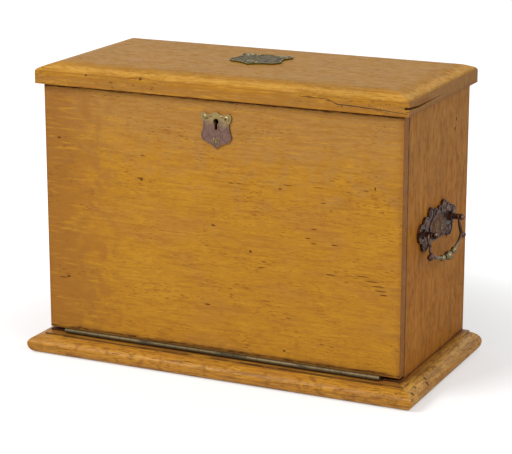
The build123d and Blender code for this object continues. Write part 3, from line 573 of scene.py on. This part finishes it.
def add_ring(mesh: Mesh, at: Vector, axis: Vector, radius_mm: float, thick_mm: float) -> None:
    """Adds a round ring to a mesh.

    Args:
        mesh: The mesh that gets it.
        at: Its middle.
        axis: The way its hole points.
        radius_mm: From the middle to the middle of its wire.
        thick_mm: The wire's radius.
    """
    across = axis.orthogonal().normalized()
    turn = axis.cross(across).to_track_quat("Z", "Y").to_matrix().to_4x4()
    place = Matrix.Translation(at + across * radius_mm * MM) @ turn
    wire = bmesh.ops.create_circle(mesh, segments=10, radius=thick_mm * MM, matrix=place)
    edges = list({edge for vert in wire["verts"] for edge in vert.link_edges})
    bmesh.ops.spin(mesh, geom=edges, cent=at, axis=axis, angle=2 * math.pi, steps=40, use_merge=True)


def add_scroll(mesh: Mesh, at: Vector, flat: tuple[Vector, Vector], radius_mm: float, turns: float,
               thick_mm: float) -> None:
    """Adds a tapering spiral of wire to a mesh, as cast scrollwork has.

    Args:
        mesh: The mesh that gets it.
        at: The scroll's eye.
        flat: The two directions that it lies in; the first points to its outer end.
        radius_mm: From the eye to its outer end.
        turns: How many turns it makes.
        thick_mm: The wire's radius at its thickest.
    """
    steps = int(STEPS_PER_TURN * turns)
    curve = bpy.data.curves.new("scroll", "CURVE")
    curve.dimensions = "3D"
    curve.bevel_depth = thick_mm * MM
    curve.bevel_resolution = 2
    curve.use_fill_caps = True
    line = curve.splines.new("POLY")
    line.points.add(steps)
    for index, point in enumerate(line.points):
        share = index / steps
        angle = 2 * math.pi * turns * (1 - share)
        reach = radius_mm * MM * (SCROLL_EYE + (1 - SCROLL_EYE) * share)
        spot = at + reach * (math.cos(angle) * flat[0] + math.sin(angle) * flat[1])
        point.co = (*spot, 1.0)
        point.radius = 0.5 + 0.5 * math.sin(math.pi * share)
    holder = bpy.data.objects.new("scroll", curve)
    shape = bpy.data.meshes.new_from_object(holder)
    mesh.from_mesh(shape)
    bpy.data.objects.remove(holder)
    bpy.data.curves.remove(curve)
    bpy.data.meshes.remove(shape)


@dataclass
class Boards:
    """All the wooden boards, each with its own grain, start of pattern, marks and bands, some of them
    painted light or shade.
    """

    # Dark colour of joints and quirks, and of painted shadow lines.
    seam_and_shadow: str = "#33190b"
    red: str = "#8a5426"
    fall_face_mm: float = -85.75
    lid_face_mm: float = -91.5
    side_face_mm: float = 180.0
    mark_deep_mm: float = 1.5

    def front_marks(self) -> tuple[Mark, ...]:
        """Returns the dark flecks and the round bruise that stand out on the fall front."""
        flecks = [
            (62.8, 184.6, 1.5, 0.8), (154.0, 194.1, 0.9, 1.6), (96.1, 150.8, 2.6, 0.5),
            (90.2, 141.9, 2.6, 0.6), (96.1, 137.6, 2.8, 0.5), (116.0, 138.5, 3.4, 0.6),
            (33.4, 123.1, 1.6, 1.3), (44.5, 109.4, 3.4, 0.5), (112.0, 110.6, 4.5, 0.5),
            (104.8, 175.8, 2.6, 0.4), (70.5, 188.6, 5.0, 0.35), (100.0, 189.6, 6.0, 0.35),
            (143.0, 113.0, 7.0, 0.5), (152.0, 109.3, 8.0, 0.5), (158.0, 105.5, 7.0, 0.5),
            (161.0, 101.6, 6.0, 0.55), (163.5, 98.2, 4.0, 0.6), (-79.8, 179.8, 2.6, 0.8),
            (-77.8, 179.2, 1.6, 1.7), (-3.8, 143.1, 2.2, 0.6), (-10.4, 67.0, 3.0, 0.8),
            (-158.3, 75.7, 2.2, 1.1), (67.5, 32.7, 1.5, 1.0), (-76.5, 201.5, 2.6, 0.5),
            (-165.0, 210.5, 2.2, 0.9), (-164.0, 74.0, 5.0, 0.5), (-4.8, 143.6, 0.9, 1.3),
            (14.0, 185.0, 2.8, 0.5),
        ]
        face, deep = self.fall_face_mm, self.mark_deep_mm
        return tuple(Mark((x, face, z), (long, deep, high)) for x, z, long, high in flecks)

    def side_plugs(self) -> tuple[Mark, ...]:
        """Returns the two small filled holes near the top of the right-hand side."""
        face, reach = self.side_face_mm, (self.mark_deep_mm, 1.7, 2.0)
        return (Mark((face, 49.2, 233.4), reach), Mark((face, 46.1, 224.6), reach))

    def worm_holes(self) -> tuple[Mark, ...]:
        """Returns the worm holes near the front end of the right-hand plinth moulding."""
        places = ((193.5, -56.7), (197.5, -61.7), (193.2, -82.4), (196.0, -95.9))
        return tuple(Mark((x, y, 13.5), (2.0, 2.2, 5.0)) for x, y in places)

    def lid_marks(self) -> tuple[Mark, ...]:
        """Returns the nicks along the lid's front edge and the painted shadow inside its open shake."""
        # Painted shadow: the dark inside of the open shake, laid as a mark.
        shake = Mark((186.0, -62.0, 269.5), (7.0, 26.0, 3.0))
        places = (
            (-131.1, 273.2, 1.2), (-74.5, 274.3, 1.5), (-51.4, 275.6, 1.0), (124.0, 266.2, 0.8),
            (160.0, 266.0, 0.8))
        face, deep = self.lid_face_mm, self.mark_deep_mm
        return (shake, *[Mark((x, face, z), (reach, deep, reach)) for x, z, reach in places])

    def fall(self) -> WaxedWood:
        """Returns the fall front's wood: a painted sheen pales its top, browner at its left, darker edges
        and painted shadow lines.
        """
        bands = (
            # Painted sheen: a greyer, paler zone towards the top. Then a browner zone at the left.
            Band(2, 264.0, 95.0, "#a67b45", 0.75), Band(0, -186.0, 95.0, "#8e5b28", 0.75),
            Band(0, 182.0, 9.0, self.red, 0.6), Band(0, -181.0, 5.0, self.red, 0.7),
            # Painted shadow lines: under the lid's overhang (z 259.6) and above the hinge's knuckle (z
            # 24.8).
            Band(2, 259.6, 1.7, self.seam_and_shadow, 0.95), Band(2, 23.5, 6.0, self.red, 0.6),
            Band(2, 24.8, 1.9, self.seam_and_shadow, 0.9))
        # On the ends: a dark joint line at the back edge, and a painted shadow line along the front arris.
        end_bands = (Band(1, -74.0, 1.8, self.seam_and_shadow, 0.95), Band(1, -86.0, 1.4, self.seam_and_shadow, 0.7))
        return WaxedWood(
            "waxed_wood_fall", light="#c18b29", middle="#b57e22", end="#84521f", start_mm=(40.0, 0.0, 0.0),
            marks=self.front_marks(), bands=bands, end_bands=end_bands)

    def lid(self) -> WaxedWood:
        """Returns the lid's wood: a painted highlight on the moulding's swell, darker quirk lines, painted
        shade on its ends.
        """
        bands = (
            Band(2, 266.5, 7.5, "#96693a", 0.6), Band(2, 261.3, 1.6, self.red, 0.8),
            # Next: a darker quirk line, then the painted highlight, a pale golden band on the moulding's
            # swell (z 277.2).
            Band(2, 273.8, 0.9, "#7d4f22", 0.6), Band(2, 277.2, 2.6, "#d8a34a", 0.75),
            Band(2, 281.2, 1.8, "#a5782a", 0.6))
        # Painted shade: darker low on the end faces, and dark inside the open shake at x 182.
        end_bands = (Band(2, 261.0, 5.0, "#7a4c26", 0.5), Band(0, 182.0, 1.8, self.seam_and_shadow, 0.95))
        return WaxedWood(
            "waxed_wood_lid", light="#c99134", middle="#b17c24", stain="#9f7a3a", end="#8f6236",
            start_mm=(900.0, 40.0, 0.0), stained=0.45, gloss=0.06, marks=self.lid_marks(), bands=bands,
            end_bands=end_bands)

    def sides(self) -> dict[str, WaxedWood]:
        """Returns the side panels' wood, with upright grain, a painted sheen towards the top and darker
        edges.
        """
        shared = {
            "grain": Grain.ALONG_Z, "light": "#b67828", "middle": "#a66a1f", "dark": "#87531a",
            "stain": "#a0601c", "mottled": 0.6, "figure_mm": (34.0, 7.0), "gloss": 0.06, "pores": 0.6,
            # Painted sheen: a greyer zone towards the top. Then darker lines along the edges.
            "bands": (Band(2, 262.0, 110.0, "#9c7238", 0.5), Band(1, -74.2, 1.8, self.seam_and_shadow, 0.9),
                      Band(1, 86.2, 3.0, "#5f361a", 0.7), Band(2, 18.4, 6.0, self.red, 0.7),
                      Band(2, 18.4, 2.2, self.seam_and_shadow, 0.85))}
        start = (300.0, 90.0, 0.0)
        return {
            "side_right": WaxedWood("waxed_wood_side_right", marks=self.side_plugs(), **shared),
            "side_left": WaxedWood("waxed_wood_side_left", start_mm=start, **shared)}

    def plinth(self) -> dict[str, WaxedWood]:
        """Returns the plinth's wood: painted highlight on the right swell, painted shade on the front
        fillet, darker quirks and foot.
        """
        shared = {
            "light": "#cf9a36", "middle": "#ba8129", "dark": "#8a5a22", "end": "#94602a", "mottled": 0.75,
            "figure_mm": (44.0, 2.8), "pores": 0.9, "gloss": 0.2, "roughness": 0.36}
        foot = Band(2, 0.0, 2.2, "#6f5236", 0.8)
        # Painted shade: the dark fillet under the fall (y -88.5); then a dark quirk line and the foot.
        front = (Band(1, -88.5, 5.6, "#845428", 0.85), Band(1, -93.75, 1.1, self.seam_and_shadow, 0.85), foot)
        right = (Band(0, 183.0, 5.0, "#86501f", 0.7), Band(0, 180.0, 1.6, self.seam_and_shadow, 0.9),
                 # Next: a dark quirk line, then the painted highlight, a pale band at x 191 on the right
                 # moulding's swell.
                 Band(0, 186.5, 1.1, self.seam_and_shadow, 0.85), Band(0, 191.0, 9.0, "#dcaa50", 0.85), foot)
        left = (Band(0, -181.5, 1.1, self.seam_and_shadow, 0.85), foot)
        return {
            "plinth_front": WaxedWood(
                "waxed_wood_plinth_front", start_mm=(50.0, 0.0, 300.0), bands=front, **shared),
            "plinth_left": WaxedWood(
                "waxed_wood_plinth_left", Grain.ALONG_Y, start_mm=(0.0, 70.0, 0.0), bands=left, **shared),
            "plinth_right": WaxedWood(
                "waxed_wood_plinth_right", Grain.ALONG_Y, marks=self.worm_holes(), bands=right, **shared)}

    def dress(self) -> None:
        """Gives every board its waxed wood."""
        inner = {"light": "#a9703a", "middle": "#945c2c", "dark": "#70411d", "stained": 0.3, "gloss": 0.15}
        finishes = {
            "fall_board": self.fall(),
            "lid_board": self.lid(),
            **self.sides(),
            "back_board": WaxedWood(
                "waxed_wood_back", light="#a9773f", middle="#96642f", dark="#734622", gloss=0.12,
                start_mm=(200.0, 0.0, 70.0), roughness=0.55),
            "case_bottom": WaxedWood("bare_wood_bottom", start_mm=(0.0, 500.0, 0.0), **inner),
            # The strip under the hinge is dark wood, darkened to near black-brown by painted shade under
            # the fall.
            "hinge_strip": WaxedWood(
                "painted_shade_wood_strip", light="#4a2a13", middle="#3a200f", dark="#2c180b"),
            **self.plinth(),
            "plinth_board": WaxedWood("bare_wood_plinth_board", start_mm=(0.0, 0.0, 800.0), **inner),
            "ink_tray": WaxedWood("satin_wood_tray", start_mm=(0.0, 20.0, 100.0), **inner),
        }
        for node, finish in finishes.items():
            clad(node, finish.build())
        for index, node in enumerate(sorted(name for name in NODES if name.startswith("rack_"))):
            grain = Grain.ALONG_Z if "end" in node else Grain.ALONG_X
            start = (130.0 * index, 60.0 * index, 0.0)
            clad(node, WaxedWood(f"satin_wood_{node}", grain=grain, start_mm=start, **inner).build())


@dataclass
class LidCrack:
    """The hairline crack that runs on from the lid's open shake, along its front edge, drawn as painted
    shade.
    """

    route_mm: tuple[tuple[float, float], ...] = (
        (83.4, 272.0), (110.4, 271.4), (119.3, 267.7), (140.3, 267.0), (162.0, 266.0), (184.5, 264.3))
    width_mm: float = 0.75
    proud_mm: float = 0.03

    def build(self) -> None:
        """Builds the crack as a thin dark ribbon of painted shade on the edge's face."""
        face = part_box("lid_board")[0][1] - self.proud_mm * MM
        mesh = bmesh.new()
        count = len(self.route_mm)
        rows = []
        for index, (x, z) in enumerate(self.route_mm):
            half = self.width_mm / 2 * (0.35 + 0.65 * math.sin(math.pi * (index + 0.5) / count))
            rows.append([mesh.verts.new((x * MM, face, (z + side * half) * MM)) for side in (-1, 1)])
        for low, high in zip(rows, rows[1:]):
            mesh.faces.new((low[0], high[0], high[1], low[1]))
        make_piece("lid_crack", mesh, OpenCrack("crack_painted_shade").build(), "lid")


@dataclass
class Shield:
    """A shield plate with a raised border, bosses at its shoulders and three flutes above its point.

    Each boss and flute has its half size along X, Y and Z. The flutes stand at a share of the plate's
    length above its point, and the outer two are moved by flute_rise.
    """

    node: str
    name: str
    body: str
    out: Vector
    top: Vector
    rim_mm: float
    big_boss_mm: Triple
    small_boss_mm: Triple
    flute_mm: Triple
    flute_gap_mm: float
    flute_up: float
    flute_rise: float
    relief_mm: float = 0.35

    def build(self, plate: AgedBrass, bright: AgedBrass, edge: AgedBrass | None = None) -> None:
        """Dresses the plate and its pins, and adds its cast detail.

        Args:
            plate: The plate's brass.
            bright: The brass of its pins and bosses.
            edge: The border's brass, if it isn't the plate's.
        """
        brass, polished = plate.build(), bright.build()
        clad(self.node, brass)
        clad(f"{self.name}_pins", polished)
        low, high = [Vector(corner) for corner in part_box(self.node)]
        level = max(low.dot(self.out), high.dot(self.out))
        border = raised_rim(self.node, self.out, level, self.rim_mm, self.relief_mm)
        make_piece(f"{self.name}_border", border, edge.build() if edge else brass, self.body)
        bosses = bmesh.new()
        half, length = (high.x - low.x) / 2, (high - low).dot(self.top)
        foot = Vector(((low.x + high.x) / 2, 0.0, 0.0)) + self.out * level + self.top * low.dot(self.top)
        shoulders = ((BIG_BOSS_AT, self.big_boss_mm), (SMALL_BOSS_AT, self.small_boss_mm))
        for side in (-1, 1):
            for (out, down), reach in shoulders:
                aside = Vector((side * out * half, 0.0, 0.0))
                add_boss(bosses, foot + aside + self.top * length * (1 - down), reach)
        for offset in (-1, 0, 1):
            aside = Vector((offset * self.flute_gap_mm * MM, 0.0, 0.0))
            up = length * (self.flute_up + self.flute_rise * abs(offset))
            add_boss(bosses, foot + aside + self.top * up, self.flute_mm)
        make_piece(f"{self.name}_bosses", bosses, polished, self.body)


def build_escutcheon() -> None:
    """Builds the keyhole plate on the fall front: reddish brass, polished where the key is held."""
    polished = Band(2, 252.0, 16.5, "#a08c5c", 0.9)
    shield = Shield(
        "escutcheon", "escutcheon", "fall_front", Vector((0.0, -1.0, 0.0)), Vector((0.0, 0.0, 1.0)),
        rim_mm=0.9, big_boss_mm=(2.9, 0.9, 2.4), small_boss_mm=(1.7, 0.6, 1.1), flute_mm=(0.8, 0.7, 2.9),
        flute_gap_mm=2.3, flute_up=0.2, flute_rise=0.02)
    shield.build(
        AgedBrass("escutcheon_brass", "#83665b", "#745a51", "#5b453f", patina_from=0.54, roughness=0.45,
                  patch_mm=3.5, rubbed=polished),
        AgedBrass("escutcheon_bright_brass", "#a8935e", "#7a6746", "#40342a", roughness=0.36, patch_mm=2.5))


def build_plaque() -> None:
    """Builds the blank plate on the lid: dark brass with a paler border and bright bosses."""
    shield = Shield(
        "lid_plaque", "plaque", "lid", Vector((0.0, 0.0, 1.0)), Vector((0.0, 1.0, 0.0)),
        rim_mm=1.1, big_boss_mm=(4.6, 3.6, 1.3), small_boss_mm=(2.6, 1.6, 0.8), flute_mm=(1.0, 3.0, 0.9),
        flute_gap_mm=4.4, flute_up=0.24, flute_rise=-0.02)
    shield.build(
        AgedBrass("plaque_brass", "#5a491a", "#483b14", "#30290c", roughness=0.45, patch_mm=9.0,
                  metal=0.25, gloss=0.08),
        AgedBrass("plaque_bright_brass", "#a39873", "#6b6040", "#3d3824", patina_from=0.55,
                  roughness=0.3, patch_mm=3.0),
        AgedBrass("plaque_edge_brass", "#8d8248", "#6a5f34", "#453c20", roughness=0.4, patch_mm=6.0,
                  metal=0.5, gloss=0.1))


class HandleMetals:
    """The metals of the cast handles: bronze, a copper-brown ground, brassy lines and rubbed beads."""

    def __init__(self) -> None:
        """Builds each metal once, for both handles."""
        self.bronze = AgedBrass(
            "handle_bronze", "#77594a", "#4a352b", "#2a1c17", patina_from=0.52, roughness=0.3,
            pit_depth_mm=0.06).build()
        self.ground = AgedBrass(
            "handle_copper_ground", "#6d4528", "#553520", "#38251a", patina_from=0.52,
            roughness=0.45).build()
        self.lines = AgedBrass(
            "handle_brassy_lines", "#8e7750", "#5a4935", "#2f241b", roughness=0.36, patch_mm=4.0).build()
        self.bail = AgedBrass(
            "handle_bail_bronze", "#77594a", "#4a352b", "#241b18", roughness=0.34, patch_mm=4.0,
            rubbed=Band(2, 115.5, 9.0, "#85795a", 0.85)).build()


@dataclass
class Handle:
    """One cast bail handle: its plate gets a border, a raised oval and scrollwork.

    Lobes and scrolls are given for one half of the plate, from its middle: outwards and up, then the
    half sizes of a lobe, or the radius and turns of a scroll. A ring has its distance back from the
    posts' tips and its radius.
    """

    side: str
    rim_mm: float = 1.1
    relief_mm: float = 0.8
    step_mm: float = 0.9
    oval_mm: Triple = (1.0, 17.5, 9.6)
    lobe_mm: float = 1.2
    lobe_sink_mm: float = 0.1
    wire_mm: float = 0.6
    scroll_lift_mm: float = 0.8
    post_edge_mm: float = 4.6
    lobes_at: tuple[Row, ...] = (
        (17.0, 14.4, 4.2, 3.8), (29.6, 8.4, 4.6, 3.6), (31.0, -10.6, 5.6, 3.8),
        (17.5, -11.0, 4.0, 2.2), (43.0, 4.4, 2.8, 3.0), (42.0, -4.4, 3.0, 3.0))
    scrolls_at: tuple[Row, ...] = ((7.0, 2.4, 4.6, 1.5), (5.4, -3.6, 3.4, 1.3))
    rings_at: tuple[tuple[float, float], ...] = ((5.4, 2.6), (12.0, 3.6))

    @property
    def sign(self) -> int:
        """The way along X that the handle looks."""
        return 1 if self.side == "right" else -1

    def place(self, middle: Vector, level: float, out_mm: float, up_mm: float) -> Vector:
        """Finds the point at a level of X, out_mm along Y and up_mm above the ornament's middle."""
        return Vector((self.sign * level, middle.y + out_mm * MM, middle.z + up_mm * MM))

    def add_piece(self, name: str, mesh: Mesh, metal: Material) -> None:
        """Makes a piece of cast detail that stays on the case."""
        make_piece(f"handle_{name}_{self.side}", mesh, metal, "case")

    def lobes(self, middle: Vector, face: float) -> Mesh:
        """Makes the round lobes along the plate's outline, on the level of its face."""
        mesh = bmesh.new()
        for hand in (-1, 1):
            for out_mm, up_mm, reach_y, reach_z in self.lobes_at:
                at = self.place(middle, face + self.lobe_sink_mm * MM, hand * out_mm, up_mm)
                add_boss(mesh, at, (self.lobe_mm, reach_y, reach_z))
        return mesh

    def scrolls(self, middle: Vector, crest: float) -> Mesh:
        """Makes the scrolls that lie on the oval, at the level of its crest."""
        mesh = bmesh.new()
        out = Vector((self.sign, 0.0, 0.0))
        for hand in (-1, 1):
            for out_mm, up_mm, radius, turns in self.scrolls_at:
                upward = 1 if up_mm > 0 else -1
                inward = Vector((0.0, -hand, -0.3 * upward)).normalized()
                sideways = out.cross(inward) * hand * upward * self.sign
                eye = self.place(middle, crest, hand * out_mm, up_mm)
                add_scroll(mesh, eye, (inward, sideways), radius, turns, self.wire_mm)
        return mesh

    def post_rings(self, middle: Vector, low: Vector, high: Vector) -> Mesh:
        """Makes the rings round the posts, whose box goes from low to high."""
        mesh = bmesh.new()
        tip = high.x if self.sign > 0 else -low.x
        half_gap = (high.y - low.y) / 2 - self.post_edge_mm * MM
        for hand in (-1, 1):
            y = (low.y + high.y) / 2 + hand * half_gap
            for back_mm, radius in self.rings_at:
                at = Vector((self.sign * (tip - back_mm * MM), y, middle.z))
                add_ring(mesh, at, Vector((1.0, 0.0, 0.0)), radius, self.wire_mm)
        return mesh

    def build(self, metals: HandleMetals) -> None:
        """Dresses the handle and adds its cast detail.

        Args:
            metals: The metals that the handles share.
        """
        plate, posts = f"handle_plate_{self.side}", f"handle_posts_{self.side}"
        clad(plate, metals.bronze)
        clad(posts, metals.bronze)
        clad(f"handle_bail_{self.side}", metals.bail)
        low, high = [Vector(corner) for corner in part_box(plate)]
        post_low, post_high = [Vector(corner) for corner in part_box(posts)]
        middle = (low + high) / 2
        middle.z = (post_low.z + post_high.z) / 2
        relief = high.x if self.sign > 0 else -low.x
        face = relief - self.step_mm * MM
        out = Vector((self.sign, 0.0, 0.0))
        self.add_piece("border", raised_rim(plate, out, face, self.rim_mm, self.relief_mm), metals.bronze)
        oval = bmesh.new()
        add_boss(oval, self.place(middle, relief, 0.0, 0.0), self.oval_mm)
        self.add_piece("oval", oval, metals.ground)
        self.add_piece("lobes", self.lobes(middle, face), metals.bronze)
        self.add_piece("scrolls", self.scrolls(middle, relief + self.scroll_lift_mm * MM), metals.lines)
        self.add_piece("post_rings", self.post_rings(middle, post_low, post_high), metals.bronze)


class Fittings:
    """Hinges, screws, lock, leather and the ink set, which keep their CAD shapes."""

    def dress(self) -> None:
        """Gives each fitting its finish."""
        hinge = AgedBrass(
            "hinge_brass", "#685b42", "#574c34", "#443a26", patina_from=0.52, roughness=0.5, patch_mm=60.0,
            metal=0.8).build()
        screws = AgedBrass("screw_brass", "#a08a52", "#77653c", patch_mm=2.0).build()
        bright = AgedBrass(
            "polished_brass", "#c4a35a", "#a4854a", "#6b5a35", patina_from=0.6, roughness=0.25,
            patch_mm=8.0).build()
        steel = BoxSteel("lock_steel").build()
        iron = BoxSteel("nut_iron", light="#5a5650", dark="#35312d").build()
        glass = PressedGlass("ink_glass").build()
        corners = [(x / MM, z / MM) for x, _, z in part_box("writing_leather")]
        leather = TooledLeather("green_skiver", *corners).build()
        sets = {
            hinge: ("fall_hinge_base_leaf", "fall_hinge_fall_leaf", "fall_hinge_pin",
                    "lid_hinge_case_leaves", "lid_hinge_lid_leaves", "lid_hinge_pins"),
            screws: ("fall_hinge_base_screws", "fall_hinge_fall_screws", "lid_hinge_case_screws",
                     "lid_hinge_lid_screws", "link_plate_screws", "lock_screws"),
            bright: ("lock_link_plate", "ink_collar_left", "ink_collar_right", "ink_cap_left",
                     "ink_cap_right", "ink_cap_pin_left", "ink_cap_pin_right"),
            steel: ("lock_case", "lock_bolt"),
            iron: ("handle_nuts_left", "handle_nuts_right", "plinth_screws"),
            glass: ("ink_bottle_left", "ink_bottle_right"),
            leather: ("writing_leather",),
        }
        for material, nodes in sets.items():
            for node in nodes:
                clad(node, material)


@dataclass(frozen=True)
class Lamp:
    """A square soft lamp: its place, the length of its side and its power."""

    name: str
    at: Triple
    size: float
    watts: float


@dataclass
class Studio:
    """A white table and backdrop, soft lamps and the camera at the photograph's angle.

    The floor's own glow, which only the camera sees, grows from floor_near to floor_far between the
    two distances of glow_reach. The dimmer glow near the box is painted shade that deepens the soft
    shadow there, and the far floor is white.
    """

    azimuth: float = 25.13
    elevation: float = 15.10
    distance: float = 1.8254
    aim_right: float = -0.0011
    aim_up: float = 0.1213
    focal_px: float = 1912.2
    image_px: float = 512.0
    floor_size: float = 14.0
    floor_colour: Colour = (0.9, 0.9, 0.9, 1.0)
    floor_near: float = 1.75
    floor_far: float = 2.95
    glow_reach: tuple[float, float] = (0.21, 0.46)
    glow_share: float = 0.25
    room_light: float = 0.42
    lamps: tuple[Lamp, ...] = (
        Lamp("window", (-1.1, -1.75, 1.8), 1.2, 44.0), Lamp("room", (2.1, -0.7, 1.4), 1.4, 17.0))

    def build(self) -> None:
        """Sets up the floor, the world, the lamps and the camera."""
        self.make_floor()
        self.light_world()
        for lamp in self.lamps:
            self.hang(lamp)
        self.make_camera()
        SCENE.view_settings.view_transform = "Standard"

    def make_floor(self) -> None:
        """Makes a pale floor that shows white and still takes the object's shadow."""
        mesh = bmesh.new()
        bmesh.ops.create_grid(mesh, x_segments=1, y_segments=1, size=self.floor_size / 2)
        data = bpy.data.meshes.new("floor")
        mesh.to_mesh(data)
        mesh.free()
        paper = Surface("paper_floor")
        seen = paper.join(paper.add("LightPath").outputs["Is Camera Ray"], self.glow_share)
        place = paper.coords.outputs["Object"]
        far = paper.add("VectorMath", {0: place}, operation="LENGTH").outputs["Value"]
        # Painted shade: the glow is dimmer near the box, so the floor there is darker wherever the lamps
        # leave it below white.
        strength = paper.between(far, *self.glow_reach, self.floor_near, self.floor_far)
        matt = paper.add("BsdfDiffuse", {"Color": self.floor_colour}).outputs[0]
        glow = paper.add("Emission", {"Color": WHITE, "Strength": strength}).outputs[0]
        mixed = paper.add("MixShader", {0: seen, 1: matt, 2: glow}).outputs[0]
        paper.add("OutputMaterial", {"Surface": mixed})
        data.materials.append(paper.material)
        floor = bpy.data.objects.new("floor", data)
        SCENE.collection.objects.link(floor)

    def light_world(self) -> None:
        """Fills the room with soft light and shows white behind the object and in its reflections."""
        world = bpy.data.worlds.new("room")
        SCENE.world = world
        world.use_nodes = True
        tree = world.node_tree
        tree.nodes.clear()
        rays = add_node(tree, "LightPath").outputs
        seen = rays["Is Camera Ray"]
        for ray in ("Is Glossy Ray", "Is Transmission Ray"):
            seen = add_node(tree, "Math", {0: seen, 1: rays[ray]}, operation="MAXIMUM").outputs[0]
        fill, white = [
            add_node(tree, "Background", {"Color": WHITE, "Strength": strength}).outputs[0]
            for strength in (self.room_light, 1.0)]
        mixed = add_node(tree, "MixShader", {0: seen, 1: fill, 2: white})
        add_node(tree, "OutputWorld", {"Surface": mixed.outputs[0]})

    def hang(self, lamp: Lamp) -> None:
        """Hangs a lamp so that it looks at the object."""
        light = bpy.data.lights.new(lamp.name, "AREA")
        light.size = lamp.size
        light.energy = lamp.watts
        holder = bpy.data.objects.new(lamp.name, light)
        at = Vector(lamp.at)
        holder.location = at
        holder.rotation_euler = (Vector((0.0, 0.0, self.aim_up)) - at).to_track_quat("-Z", "Y").to_euler()
        SCENE.collection.objects.link(holder)

    def make_camera(self) -> None:
        """Makes the camera from the angles that were fitted to the photograph."""
        around, up = math.radians(self.azimuth), math.radians(self.elevation)
        back = Vector((math.sin(around) * math.cos(up), -math.cos(around) * math.cos(up), math.sin(up)))
        right = Vector((math.cos(around), math.sin(around), 0.0))
        data = bpy.data.cameras.new("camera")
        data.lens = self.focal_px / self.image_px * data.sensor_width
        data.clip_end = 50.0
        camera = bpy.data.objects.new("camera", data)
        camera.location = right * self.aim_right + Vector((0.0, 0.0, self.aim_up)) + back * self.distance
        camera.rotation_mode = "QUATERNION"
        camera.rotation_quaternion = (-back).to_track_quat("-Z", "Y")
        SCENE.collection.objects.link(camera)
        SCENE.camera = camera


def main() -> None:
    """Dresses the part and sets up the studio."""
    logging.basicConfig(level=logging.INFO, format="%(message)s")
    Studio().build()
    Boards().dress()
    Fittings().dress()
    build_escutcheon()
    build_plaque()
    LidCrack().build()
    metals = HandleMetals()
    for side in ("left", "right"):
        Handle(side).build(metals)


if __name__ == "__main__":
    main()
